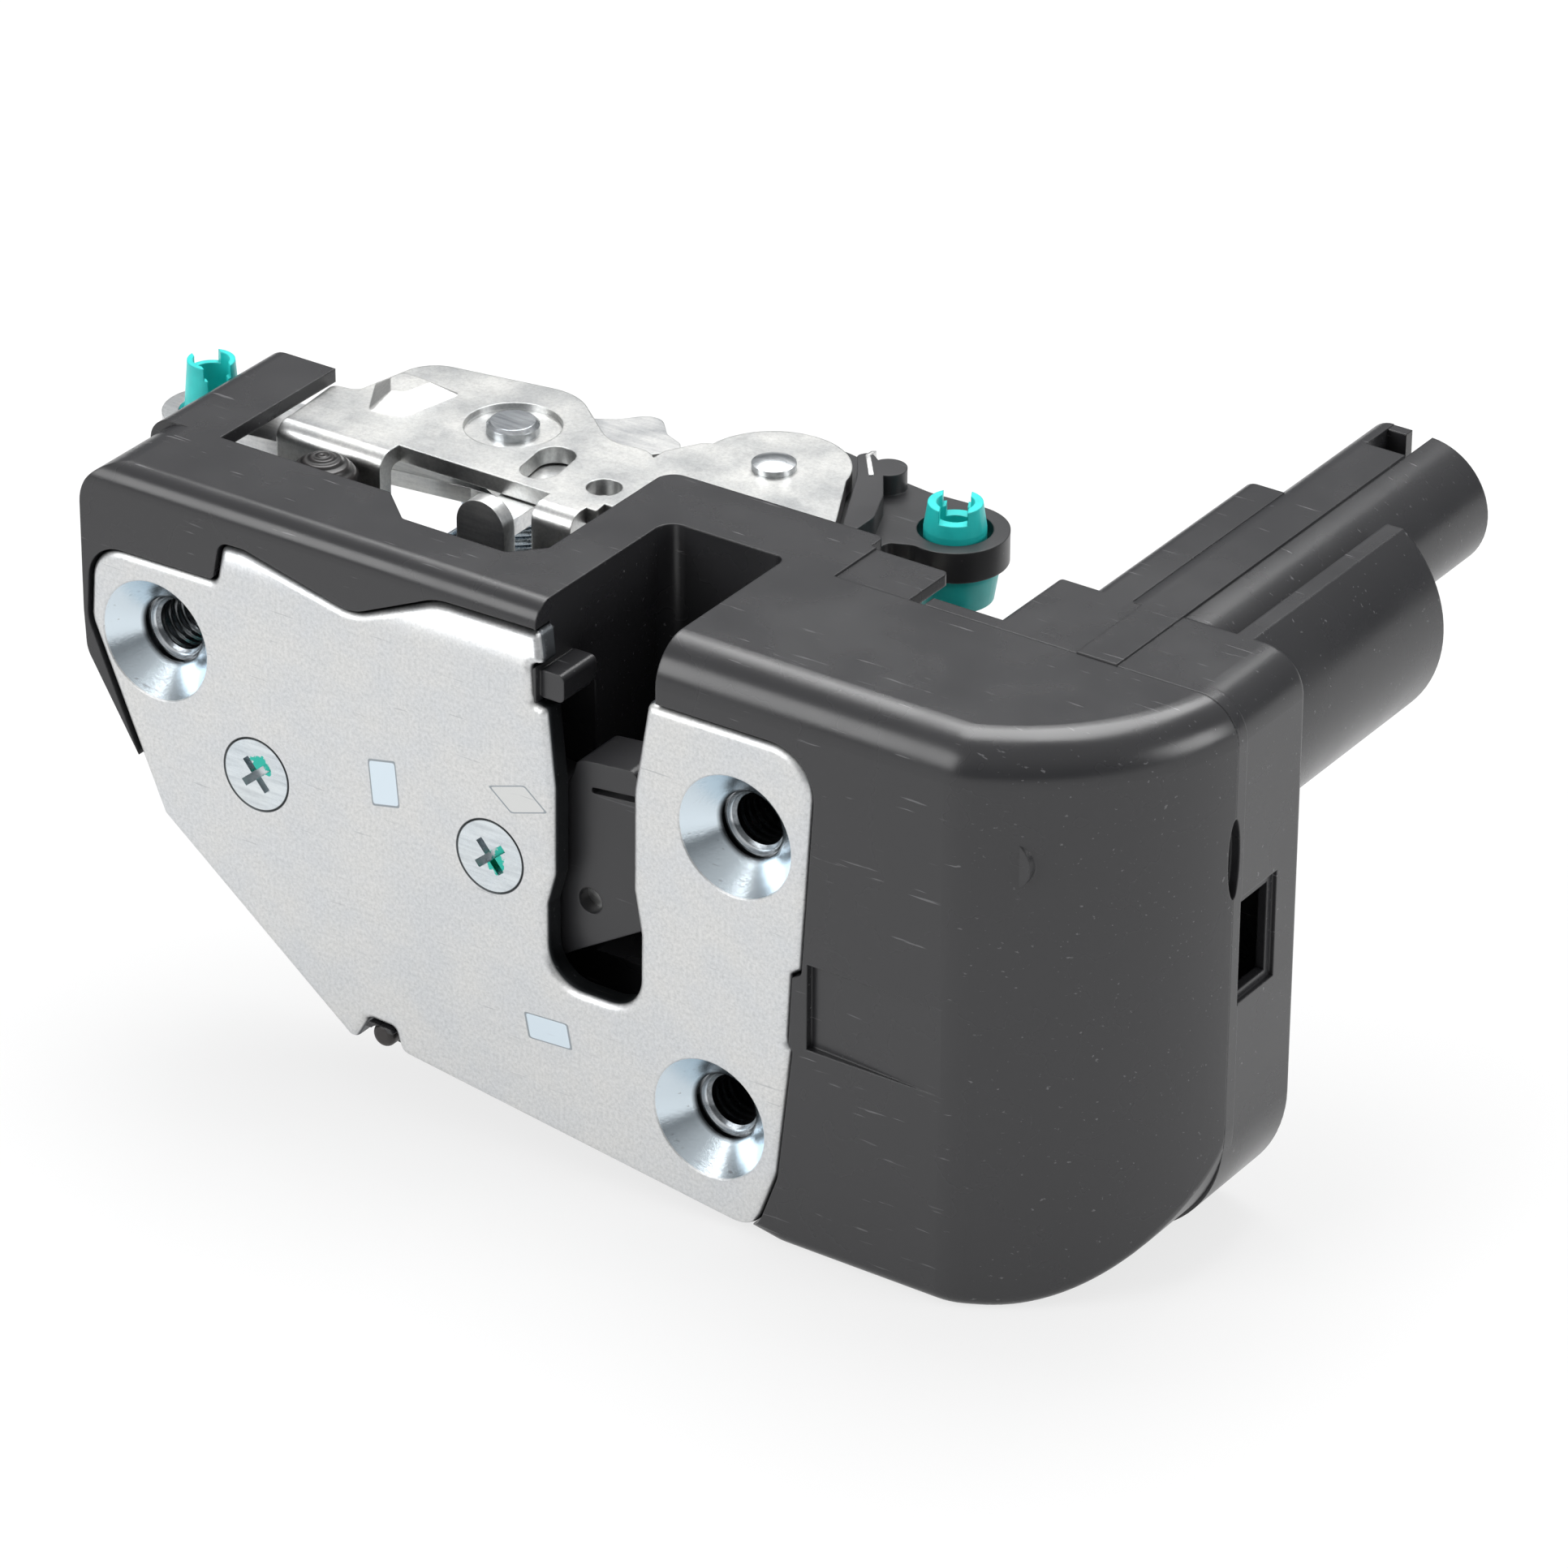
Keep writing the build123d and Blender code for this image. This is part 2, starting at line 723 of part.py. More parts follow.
def stepped_pin(at, name):
    """Shouldered pin from the plate to the web, riveted behind it, bored for its screw."""
    x, z = at
    head = web_front + frame_t
    with BuildPart() as pin:
        with BuildSketch(Plane((x, 0, z), x_dir=(1, 0, 0), z_dir=(0, 0, 1))):
            with BuildLine():
                Polyline(
                    (screw_r + screw_gap, plate_t),
                    (pin_r, plate_t),
                    (pin_r, tray_back),
                    (pin_back_r, tray_back),
                    (pin_back_r, web_front),
                    (pin_tail_r, web_front),
                    (pin_tail_r, head),
                    (pin_tail_r + 1, head),
                    (pin_tail_r + 0.6, head + 1.2),
                    (0, head + 1.2),
                    (0, screw_len + 0.3),
                    (screw_r + screw_gap, screw_len + 0.3),
                    close=True,
                )
            make_face()
        revolve(axis=Axis((x, 0, z), (0, 1, 0)))
    finish(pin.part, name)


stepped_pin(claw_at, "claw_pin")
stepped_pin(pawl_at, "pawl_pin")


def coil_on_y(at, y0, turns, leg_end, name):
    """Close wound torsion spring about an axis along Y, with a leg to the side."""
    x, z = at
    r = pin_back_r + wire_r + 0.25
    with BuildPart() as coil:
        for turn in range(turns):
            with BuildSketch(Plane((x, 0, z), x_dir=(1, 0, 0), z_dir=(0, 0, 1))):
                with Locations((r, y0 + wire_r + 2.04 * wire_r * turn)):
                    Circle(wire_r)
            revolve(axis=Axis((x, 0, z), (0, 1, 0)))
        with BuildSketch(Plane((x - r, y0 + wire_r, z), x_dir=(1, 0, 0), z_dir=(0, 0, -1))):
            Circle(wire_r)
        extrude(amount=leg_end)
    finish(coil.part, name)


coil_on_y(claw_at, tray_back + 0.4, 6, 12.0, "claw_spring")
coil_on_y(pawl_at, tray_back + 0.4, 5, 10.0, "pawl_spring")

# Claw outline: round body, low rim for the pawl, one tooth, and the striker mouth
with BuildSketch() as claw_shape:
    with BuildLine():
        l1 = CenterArc((0, 0), claw_r, -8, 110)
        l2 = Line(l1 @ 1, polar((0, 0), claw_low_r, 107))
        l3 = CenterArc((0, 0), claw_low_r, 107, 43)
        l4 = Line(l3 @ 1, polar((0, 0), claw_tooth_r, 151))
        l5 = CenterArc((0, 0), claw_tooth_r, 151, 35.0)
        l6 = Line(l5 @ 1, polar((0, 0), claw_low_r, 186.0))
        l7 = CenterArc((0, 0), claw_low_r, 186.0, 122.0)
        l8 = Line(l7 @ 1, l1 @ 0)
    make_face()
    mouth = polar((0, 0), mouth_at + claw_r, mouth_angle)
    with Locations(polar((0, 0), mouth_at, mouth_angle)):
        Circle(mouth_r, mode=Mode.SUBTRACT)
    with Locations(mouth):
        Rectangle(2 * claw_r, 2 * mouth_r, rotation=mouth_angle, mode=Mode.SUBTRACT)
    with Locations((15.0, 22.1)):
        Rectangle(24, 14, rotation=6, mode=Mode.SUBTRACT)
    fillet(claw_shape.vertices().filter_by(lambda v: v.Y > 14.4 and Vector(v.X, v.Y).length > 17), 1.2)

with BuildSketch() as core_shape:
    with BuildLine():
        m1 = CenterArc((0, 0), claw_r - core_inset, -5, 105)
        m2 = Line(m1 @ 1, polar((0, 0), claw_low_r - core_inset, 105))
        m3 = CenterArc((0, 0), claw_low_r - core_inset, 105, 48)
        m4 = Line(m3 @ 1, polar((0, 0), claw_tooth_r, 156))
        m5 = CenterArc((0, 0), claw_tooth_r, 156, 30.0)
        m6 = Line(m5 @ 1, polar((0, 0), claw_low_r - core_inset, 186.0))
        m7 = CenterArc((0, 0), claw_low_r - core_inset, 186.0, 120.0)
        m8 = Line(m7 @ 1, m1 @ 0)
    make_face()
    with Locations(polar((0, 0), mouth_at, mouth_angle)):
        Circle(mouth_r + core_inset, mode=Mode.SUBTRACT)
    with Locations(mouth):
        Rectangle(2 * claw_r, 2 * (mouth_r + core_inset), rotation=mouth_angle, mode=Mode.SUBTRACT)
    with Locations((15.0, 22.1)):
        Rectangle(24, 14 + 2 * core_inset, rotation=6, mode=Mode.SUBTRACT)

claw_plane = Plane((claw_at[0], claw_y, claw_at[1]), x_dir=(1, 0, 0), z_dir=(0, -1, 0))
core_y = claw_y + (claw_t - core_t) / 2
core_plane = Plane((claw_at[0], core_y, claw_at[1]), x_dir=(1, 0, 0), z_dir=(0, -1, 0))
with BuildPart() as claw_core:
    with BuildSketch(core_plane):
        add(core_shape.sketch)
        Circle(pin_r + pin_gap, mode=Mode.SUBTRACT)
    extrude(amount=-core_t)
finish(claw_core.part, "claw_core")

with BuildPart() as claw:
    with BuildSketch(claw_plane):
        add(claw_shape.sketch)
        Circle(pin_r + pin_gap, mode=Mode.SUBTRACT)
    extrude(amount=-claw_t)
    # moulding hole that shows the core, and the damping slit behind the contact face
    with BuildSketch(claw_plane):
        with Locations((11.8, -4.1)):
            Circle(1.7)
    extrude(amount=-2.5, mode=Mode.SUBTRACT)
    with BuildSketch(claw_plane):
        with Locations((16.8, 11.5)):
            SlotOverall(9.5, 0.8, rotation=6)
    extrude(amount=-claw_t, mode=Mode.SUBTRACT)
    add(claw_core.part, mode=Mode.SUBTRACT)
finish(claw.part, "claw")

# Pawl: hub, straight arm with a square end, ear with the lift pin
ear_at = (lift_pin_at[0] - pawl_at[0], lift_pin_at[1] - pawl_at[1])
pawl_plane = Plane((pawl_at[0], pawl_y, pawl_at[1]), x_dir=(1, 0, 0), z_dir=(0, -1, 0))
with BuildPart() as pawl:
    with BuildSketch(pawl_plane):
        Circle(pawl_hub_r)
        with Locations(polar(polar((0, 0), pawl_len / 2, pawl_angle), pawl_half, pawl_angle + 90)):
            Rectangle(pawl_len, 2 * pawl_half, rotation=pawl_angle)
        with Locations(ear_at):
            Circle(lift_pin_r + 2)
        with BuildLine():
            Polyline(
                (0, pawl_hub_r),
                polar((0, 0), lift_radius + 1, 57),
                polar((0, 0), pawl_len - 5, pawl_angle + 6),
                (6, 0),
                close=True,
            )
        make_face()
        Circle(pin_r + pin_gap, mode=Mode.SUBTRACT)
        with Locations(ear_at):
            Circle(lift_pin_r, mode=Mode.SUBTRACT)
    extrude(amount=-pawl_t)
finish(pawl.part, "pawl")

with BuildPart() as pawl_lift_pin:
    add(rod_along_y(lift_pin_at, lift_pin_r, pawl_y, lift_pin_end))
    chamfer(pawl_lift_pin.edges().filter_by(lambda e: abs(e.center().Y - lift_pin_end) < 0.01), 0.5)
finish(pawl_lift_pin.part, "pawl_lift_pin")

# Outside lever: flat arm to the left with the ring for the rod clip
with BuildPart() as outside_lever:
    with BuildSketch(level(outside_z)):
        with Locations(rivet_at):
            Circle(7.2)
        with Locations(ring_at):
            Circle(ring_r)
        with BuildLine():
            rounded(
                [
                    (27.5, 33.2, 2),
                    (27.5, 46.4, 2),
                    (14.0, 44.0, 6),
                    (-16.0, 37.4, 3),
                    (-15.5, 27.6, 3),
                    (-6.0, 29.0, 6),
                ]
            )
        make_face()
        with Locations(rivet_at):
            Circle(rivet_r + rivet_gap, mode=Mode.SUBTRACT)
        with Locations(ring_at):
            Circle(clip_r + 0.4, mode=Mode.SUBTRACT)
    extrude(amount=lever_t)
finish(outside_lever.part, "outside_lever")

# Release lever: tip at the back, arm through the window with the tab bent down
with BuildPart() as release_lever:
    with BuildSketch(level(release_z)):
        with Locations(rivet_at):
            Circle(7.6)
        with BuildLine():
            rounded(
                [
                    (20.0, 42.0, 3),
                    (27.0, 49.5, 5),
                    (31.6, 52.3, 2),
                    (35.2, 56.6, 2.5),
                    (39.0, 52.4, 2),
                    (43.4, 50.6, 2.5),
                    (37.0, 42.0, 6),
                    (37.0, tab_y, 0),
                    (31.8, tab_y, 0),
                    (31.8, 29.0, 3),
                    (20.5, 34.5, 3),
                ]
            )
        make_face()
        with Locations(rivet_at):
            Circle(rivet_r + rivet_gap, mode=Mode.SUBTRACT)
    extrude(amount=lever_t)
    with BuildSketch(front(tab_y)):
        with Locations(((tab_left + tab_right) / 2, 9.9)):
            SlotOverall(21.8, tab_right - tab_left, rotation=90)
    extrude(amount=-lever_t)
finish(release_lever.part, "release_lever")

# Stepped rivet of both levers, its collar carries the spring
with BuildPart() as lever_rivet:
    with BuildSketch(Plane((rivet_at[0], rivet_at[1], 0), x_dir=(1, 0, 0), z_dir=(0, -1, 0))):
        with BuildLine():
            Polyline(
                (0, 3.2),
                (7.2, 3.2),
                (7.2, 4.4),
                (4.4, 4.4),
                (4.4, outside_z - 0.15),
                (rivet_r, outside_z - 0.15),
                (rivet_r, outside_z + lever_t + 0.15),
                (4.4, outside_z + lever_t + 0.15),
                (4.4, release_z - 0.15),
                (rivet_r, release_z - 0.15),
                (rivet_r, frame_top - 0.8),
                (rivet_head_r, frame_top - 0.8),
                (rivet_head_r, frame_top + 0.2),
                (rivet_head_r - 0.5, frame_top + 0.7),
                (0, frame_top + 0.7),
                close=True,
            )
        make_face()
    revolve(axis=Axis((rivet_at[0], rivet_at[1], 0), (0, 0, 1)))
finish(lever_rivet.part, "lever_rivet")

with BuildPart() as lever_spring:
    for turn in range(5):
        with BuildSketch(Plane((rivet_at[0], rivet_at[1], 0), x_dir=(1, 0, 0), z_dir=(0, -1, 0))):
            with Locations((5.9, 5.15 + 1.22 * turn)):
                Circle(0.6)
        revolve(axis=Axis((rivet_at[0], rivet_at[1], 0), (0, 0, 1)))
    with BuildSketch(front(web_front + frame_t)):
        with Locations((rivet_at[0] - 5.9, 5.15)):
            Circle(0.6)
    extrude(amount=web_front + frame_t - rivet_at[1])
finish(lever_spring.part, "lever_spring")


def rod_clip(at, ring_low, ring_high, top, hole_r, crown_r, notch, name):
    """Snap-in clip for a rod end: skirt below the ring, loose notched crown above it."""
    with BuildPart() as clip:
        with BuildSketch(Plane((at[0], at[1], 0), x_dir=(1, 0, 0), z_dir=(0, -1, 0))):
            with BuildLine():
                Polyline(
                    (2.3, ring_low - 5.0),
                    (clip_r + 1.0, ring_low - 5.0),
                    (clip_r + 1.6, ring_low - 1.2),
                    (clip_r + 1.6, ring_low - 0.02),
                    (hole_r, ring_low - 0.02),
                    (hole_r, ring_low + 1.2),
                    (crown_r, ring_low + 1.6),
                    (crown_r, ring_high + 0.4),
                    (crown_r - 0.5, top),
                    (2.3, top),
                    close=True,
                )
            make_face()
        revolve(axis=Axis((at[0], at[1], 0), (0, 0, 1)))
        with BuildSketch(level(top - 1.6)):
            with Locations(at):
                Rectangle(3 * clip_r, 3.4, rotation=notch)
        extrude(amount=10, mode=Mode.SUBTRACT)
        with BuildSketch(level(ring_high + 0.6)):
            with Locations(polar(at, clip_r, notch)):
                Rectangle(2 * clip_r, 2.6, rotation=notch)
        extrude(amount=10, mode=Mode.SUBTRACT)
    finish(clip.part, name)


rod_clip(ring_at, outside_z, outside_z + lever_t, 20.9, clip_r + 0.4 - clip_gap, 3.5, -35, "outside_clip")
rod_clip(lock_ring_at, lock_z, lock_z + lock_t, lock_z + lock_t + 3.6, 4.63 - clip_gap, clip_r, 118, "lock_clip")

# Lock lever: part disc on its rivet, arm with the ring, arm with the drive pin, raised finger
with BuildPart() as lock_lever:
    with BuildSketch(level(lock_z)):
        with Locations(lock_at):
            Circle(lock_hub_r)
        with Locations((lock_at[0] - 17.5, lock_at[1])):
            Rectangle(20, 40, mode=Mode.SUBTRACT)
        with Locations(lock_ring_at):
            Circle(lock_ring_r)
        with BuildLine():
            rounded(
                [
                    (64.0, 60.0, 2),
                    (73.4, 58.7, 6),
                    (81.5, 59.2, 2),
                    (84.0, 47.0, 2),
                    (79.0, 45.9, 3),
                    (75.4, 44.3, 3),
                    (86.6, 33.0, 3.5),
                    (80.5, 26.9, 3.5),
                    (66.0, 37.0, 3),
                    (60.0, 45.0, 0),
                ]
            )
        make_face()
        with Locations(lock_at):
            Circle(lock_rivet_r + rivet_gap, mode=Mode.SUBTRACT)
        with Locations(lock_ring_at):
            Circle(4.63, mode=Mode.SUBTRACT)
    extrude(amount=lock_t)
    # raised cam beside the flange and the boss behind it
    with BuildSketch(level(lock_z + lock_t - 1)):
        with BuildLine():
            rounded([(63.4, 57.6, 1), (64.4, 59.2, 1), (67.6, 57.0, 2), (71.9, 50.6, 3), (74.3, 45.0, 3), (74.3, 40.9, 0.8), (72.5, 40.9, 0.5), (66.5, 53.0, 1)])
        make_face()
        with Locations((68.4, 57.0)):
            Circle(2.3)
    extrude(amount=3.7)
    with BuildSketch(level(8.9)):
        with Locations(drive_pin_at):
            Circle(drive_pin_r)
    extrude(amount=lock_z - 8.9)
finish(lock_lever.part, "lock_lever")

with BuildPart() as lock_rivet:
    with BuildSketch(Plane((lock_at[0], lock_at[1], 0), x_dir=(1, 0, 0), z_dir=(0, -1, 0))):
        with BuildLine():
            a1 = Polyline(
                (0, frame_top + 1.3),
                (0, lock_z - 1.2),
                (5.0, lock_z - 1.2),
                (5.0, lock_z - 0.15),
                (lock_rivet_r, lock_z - 0.15),
                (lock_rivet_r, lock_z + lock_t + 0.15),
                (4.0, lock_z + lock_t + 0.15),
                (4.0, frame_top - frame_t),
                (lock_rivet_r, frame_top - frame_t),
                (lock_rivet_r, frame_top),
                (2.75, frame_top),
                (2.75, frame_top + 0.8),
            )
            ThreePointArc(a1 @ 1, dome_point(2.75, frame_top + 0.8, frame_top + 1.3), a1 @ 0)
        make_face()
    revolve(axis=Axis((lock_at[0], lock_at[1], 0), (0, 0, 1)))
finish(lock_rivet.part, "lock_rivet")

# Domed rubber buffer with turned rings
with BuildPart() as rubber_bumper:
    with BuildSketch(Plane((11.8, 18.7, 0), x_dir=(1, 0, 0), z_dir=(0, -1, 0))):
        with BuildLine():
            b1 = Polyline(
                (0, 20.9),
                (0, 12.0),
                (3.4, 12.0),
                (3.4, 14.0),
                (2.6, 14.4),
                (2.6, 15.4),
                (4.4, 16.0),
                (4.4, 18.2),
            )
            ThreePointArc(b1 @ 1, dome_point(4.4, 18.2, 20.9), b1 @ 0)
        make_face()
    revolve(axis=Axis((11.8, 18.7, 0), (0, 0, 1)))
finish(rubber_bumper.part, "rubber_bumper")

# Stop at the notch in the plate's lower edge
with BuildPart() as stop_buffer:
    add(rod_along_y(stop_at, stop_r, 0.4, tray_back - 1.5))
    fillet(stop_buffer.edges().filter_by(lambda e: abs(e.center().Y - 0.4) < 0.01), 0.8)
finish(stop_buffer.part, "stop_buffer")

# Motor: flat-sided can with a bearing nose, and its end cap
with BuildPart() as motor_can:
    with BuildSketch(front(motor_front)):
        with Locations((shaft_x, shaft_z)):
            Circle(motor_r)
            Rectangle(3 * motor_r, 2 * motor_flat, mode=Mode.INTERSECT)
    extrude(amount=motor_front - can_end)
    add(rod_along_y((shaft_x, shaft_z), 3.1, motor_front - 1.8, motor_front + 1))
    add(rod_along_y((shaft_x, shaft_z), shaft_r + pin_gap, motor_front - 2, motor_front + 4), mode=Mode.SUBTRACT)
finish(motor_can.part, "motor_can")

with BuildPart() as motor_cap:
    with BuildSketch(front(can_end)):
        with Locations((shaft_x, shaft_z)):
            Circle(motor_r)
            Rectangle(3 * motor_r, 2 * motor_flat, mode=Mode.INTERSECT)
    extrude(amount=can_end - motor_end)
finish(motor_cap.part, "motor_cap")

# Worm on the motor shaft, with rings of V grooves for the thread
with BuildPart() as worm_shaft:
    add(rod_along_y((shaft_x, shaft_z), shaft_r, 6.8, motor_front + 3.5))
    add(rod_along_y((shaft_x, shaft_z), worm_r, 9.4, 24.0))
    for groove in range(6):
        y = 10.8 + 2.2 * groove
        with BuildSketch(Plane((shaft_x, 0, shaft_z), x_dir=(1, 0, 0), z_dir=(0, 0, 1))):
            with BuildLine():
                Polyline((worm_r + 0.1, y - 0.8), (worm_r - 1.4, y - 0.2), (worm_r - 1.4, y + 0.2), (worm_r + 0.1, y + 0.8), close=True)
            make_face()
        revolve(axis=Axis((shaft_x, 0, shaft_z), (0, 1, 0)), mode=Mode.SUBTRACT)
finish(worm_shaft.part, "worm_shaft")

# Worm wheel: its teeth clear the worm by the mesh gap
wheel_tip_r = shaft_x - wheel_at[0] - worm_r - mesh_gap
with BuildPart() as worm_wheel:
    with BuildSketch(level(shaft_z - wheel_t / 2)):
        with Locations(wheel_at):
            Circle(wheel_tip_r - 1.4)
            with PolarLocations(wheel_tip_r - 0.8, wheel_teeth):
                Trapezoid(1.7, 1.6, 70, rotation=-90)
            Circle(wheel_pin_r + pin_gap, mode=Mode.SUBTRACT)
    extrude(amount=wheel_t)
finish(worm_wheel.part, "worm_wheel")

with BuildPart() as wheel_pin:
    add(rod_along_z(wheel_at, wheel_pin_r, 1.4, 17.0))
finish(wheel_pin.part, "wheel_pin")

# Forked arm on the wheel, lying on its upper face
arm_angle = 143.5
with BuildPart() as output_arm:
    with BuildSketch(Plane((wheel_at[0], wheel_at[1], shaft_z + wheel_t / 2), z_dir=(0, 0, 1))):
        Circle(6.0)
        with Locations(polar((0, 0), arm_len / 2, arm_angle)):
            Rectangle(arm_len, 6.0, rotation=arm_angle)
        with Locations(polar((0, 0), arm_len - 5.0, arm_angle)):
            Rectangle(10.0, 10.0, rotation=arm_angle)
        with Locations(polar((0, 0), arm_len - 2.0, arm_angle)):
            SlotOverall(14.0, fork_slot, rotation=arm_angle, mode=Mode.SUBTRACT)
        Circle(wheel_pin_r + pin_gap, mode=Mode.SUBTRACT)
    extrude(amount=arm_t)
finish(output_arm.part, "output_arm")

# Small switch on the floor of the rear cover
with BuildPart() as status_switch:
    add(block(107.0, 119.8, 33.0, box_back - cover_wall, -16.5, -10.0))
    add(block(109.5, 111.5, 32.0, 33.0, -14.2, -12.6))
finish(status_switch.part, "status_switch")
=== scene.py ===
# %% [markdown]
# A door latch with its lock drive is pressed and zinc plated steel, black mouldings, and two teal
# rod clips. The CAD model comes in as a fixed frame in metres, so every piece made here is placed by
# the same numbers as the part itself. The box of the CAD model is kept, and the floor is placed just under
# it.

import json
from math import pi, radians

import bpy
from mathutils import Matrix, Vector


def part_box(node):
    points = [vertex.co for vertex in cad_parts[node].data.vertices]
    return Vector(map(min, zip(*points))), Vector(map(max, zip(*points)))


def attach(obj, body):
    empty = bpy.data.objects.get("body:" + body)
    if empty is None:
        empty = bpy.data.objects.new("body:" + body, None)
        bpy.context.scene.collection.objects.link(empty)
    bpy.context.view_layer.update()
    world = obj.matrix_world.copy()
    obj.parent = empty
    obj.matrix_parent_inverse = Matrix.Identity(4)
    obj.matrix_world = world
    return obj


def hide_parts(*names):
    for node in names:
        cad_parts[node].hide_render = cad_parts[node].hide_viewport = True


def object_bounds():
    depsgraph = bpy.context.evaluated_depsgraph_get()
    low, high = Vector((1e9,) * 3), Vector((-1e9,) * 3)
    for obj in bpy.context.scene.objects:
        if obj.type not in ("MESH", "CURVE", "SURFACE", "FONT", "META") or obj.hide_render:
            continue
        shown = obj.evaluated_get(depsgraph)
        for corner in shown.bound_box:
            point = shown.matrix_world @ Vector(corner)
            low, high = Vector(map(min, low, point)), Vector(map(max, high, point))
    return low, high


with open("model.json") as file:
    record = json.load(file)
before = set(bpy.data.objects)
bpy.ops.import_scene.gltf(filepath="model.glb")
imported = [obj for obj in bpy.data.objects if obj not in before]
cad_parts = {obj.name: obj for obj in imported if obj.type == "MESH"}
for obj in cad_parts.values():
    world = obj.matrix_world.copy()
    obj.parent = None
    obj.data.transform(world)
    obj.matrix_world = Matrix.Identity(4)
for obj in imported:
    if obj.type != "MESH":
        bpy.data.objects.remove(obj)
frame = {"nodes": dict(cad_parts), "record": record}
cad_box = [list(corner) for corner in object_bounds()]
MM = 0.001
print("latch size in mm:", [round((high - low) / MM, 1) for low, high in zip(*cad_box)])

# %% [markdown]
# Every finish is a small node tree. Colours are picked as sRGB hex values, as in a paint program, and
# one function turns them to the linear values that shaders work in. A second small function adds any
# node with its settings and links, so each finish reads like a recipe.


# %% Colour and node helpers
def linear(code):
    """Turn an sRGB hex colour such as 'd8d8d6' to linear RGBA."""
    parts = [int(code[i:i + 2], 16) / 255 for i in (0, 2, 4)]
    return tuple(p / 12.92 if p <= 0.04045 else ((p + 0.055) / 1.055) ** 2.4 for p in parts) + (1.0,)


def add_node(tree, kind, settings=None, links=None):
    """Add one node: settings go to its sockets or properties, links to its sockets."""
    made = tree.nodes.new(kind)
    for key, value in (settings or {}).items():
        if key == "stops":
            stops = made.color_ramp.elements
            for end, (position, code) in ((stops[0], value[0]), (stops[1], value[-1])):
                end.position = position
                end.color = linear(code)
            for position, code in value[1:-1]:
                stops.new(position).color = linear(code)
        elif isinstance(key, int) or key in made.inputs:
            made.inputs[key].default_value = value
        else:
            setattr(made, key, value)
    for key, source in (links or {}).items():
        tree.links.new(source, made.inputs[key])
    return made


def start_finish(name):
    """Make an empty material and return it with its tree, its shader and object coordinates."""
    finish = bpy.data.materials.new(name)
    finish.use_nodes = True
    tree = finish.node_tree
    tree.nodes.clear()
    shader = add_node(tree, "ShaderNodeBsdfPrincipled")
    add_node(tree, "ShaderNodeOutputMaterial", links={"Surface": shader.outputs["BSDF"]})
    place = add_node(tree, "ShaderNodeTexCoord").outputs["Object"]
    return finish, tree, shader, place


def per_mm(size):
    """Noise scale whose features are about this many millimetres wide."""
    return 1 / (size * MM)


def bands_per_mm(step):
    """Wave scale whose bands lie this many millimetres apart: a wave turns 20 radians in each unit."""
    return 2 * pi / 20 / (step * MM)


def feeding(shader, name):
    """The socket that is linked to an input of a shader."""
    return shader.inputs[name].links[0].from_socket


print("a noise of 0.45 mm has the scale", round(per_mm(0.45)))

# %% [markdown]
# Some details sit at known places of the face plate: the painted shade in the narrow gap round a flush screw,
# the marks of the staking punch, the threadlock in a screw's cross. All are masks that fade with the
# distance from a point of the plate, seen from the front, so depth is taken out of the distance first.
# The masks are then painted over the material's own colour, one after the other. The flush screws
# stand on the axes on which the claw and the pawl turn, and the record gives these.

# %% Masks at a place of the plate
turning_point = {}
for joint in frame["record"]["behaviour"]["joints"]:
    turning_point[joint["name"]] = [round(value / MM, 3) for value in joint["pos_m"]]
claw_axis = turning_point["claw_turn"]
pawl_axis = turning_point["pawl_turn"]
rivet_axis = turning_point["outside_turn"]
claw_screw = (claw_axis[0], claw_axis[2])
pawl_screw = (pawl_axis[0], pawl_axis[2])
# The colour and the reach in mm of the painted shade in the narrow gap round a flush screw.
gap_shade_colour = "55595b"
gap_shade_end = 4.95
gap_shade_soft = 0.08


def away_from(tree, place, centre):
    """Distance in metres from a point (x, z in mm) of the plate, seen from the front."""
    point = (centre[0] * MM, 0.0, centre[1] * MM)
    moved = add_node(tree, "ShaderNodeVectorMath", {"operation": "SUBTRACT", 1: point}, {0: place})
    flat = add_node(tree, "ShaderNodeVectorMath", {"operation": "MULTIPLY", 1: (1.0, 0.0, 1.0)},
                    {0: moved.outputs["Vector"]})
    far = add_node(tree, "ShaderNodeVectorMath", {"operation": "LENGTH"}, {0: flat.outputs["Vector"]})
    return far.outputs["Value"]


def off_square(tree, place, centre, turn, scale):
    """Distance that grows in squares: the larger of the two sideways steps from a point."""
    point = (centre[0] * MM, 0.0, centre[1] * MM)
    moved = add_node(tree, "ShaderNodeVectorMath", {"operation": "SUBTRACT", 1: point}, {0: place})
    turned = add_node(tree, "ShaderNodeMapping",
                      {"Rotation": (0.0, radians(turn), 0.0), "Scale": (scale[0], 1.0, scale[1])},
                      {"Vector": moved.outputs["Vector"]})
    steps = add_node(tree, "ShaderNodeVectorMath", {"operation": "ABSOLUTE"}, {0: turned.outputs["Vector"]})
    apart = add_node(tree, "ShaderNodeSeparateXYZ", links={"Vector": steps.outputs["Vector"]})
    larger = add_node(tree, "ShaderNodeMath", {"operation": "SMOOTH_MAX", 2: 0.5 * MM},
                      {0: apart.outputs["X"], 1: apart.outputs["Z"]})
    return larger.outputs["Value"]


def reach_mask(tree, distance, end, soft, start=None):
    """One as far as a distance in mm, with a soft border; with a start, nothing before it."""
    inside = add_node(tree, "ShaderNodeMapRange",
                      {"From Min": end * MM, "From Max": (end + soft) * MM, "To Min": 1.0, "To Max": 0.0},
                      {"Value": distance}).outputs["Result"]
    if start is None:
        return inside
    hollow = add_node(tree, "ShaderNodeMapRange",
                      {"From Min": (start - soft) * MM, "From Max": start * MM, "To Min": 1.0, "To Max": 0.0},
                      {"Value": distance}).outputs["Result"]
    ring = add_node(tree, "ShaderNodeMath", {"operation": "SUBTRACT", "use_clamp": True},
                    {0: inside, 1: hollow})
    return ring.outputs["Value"]


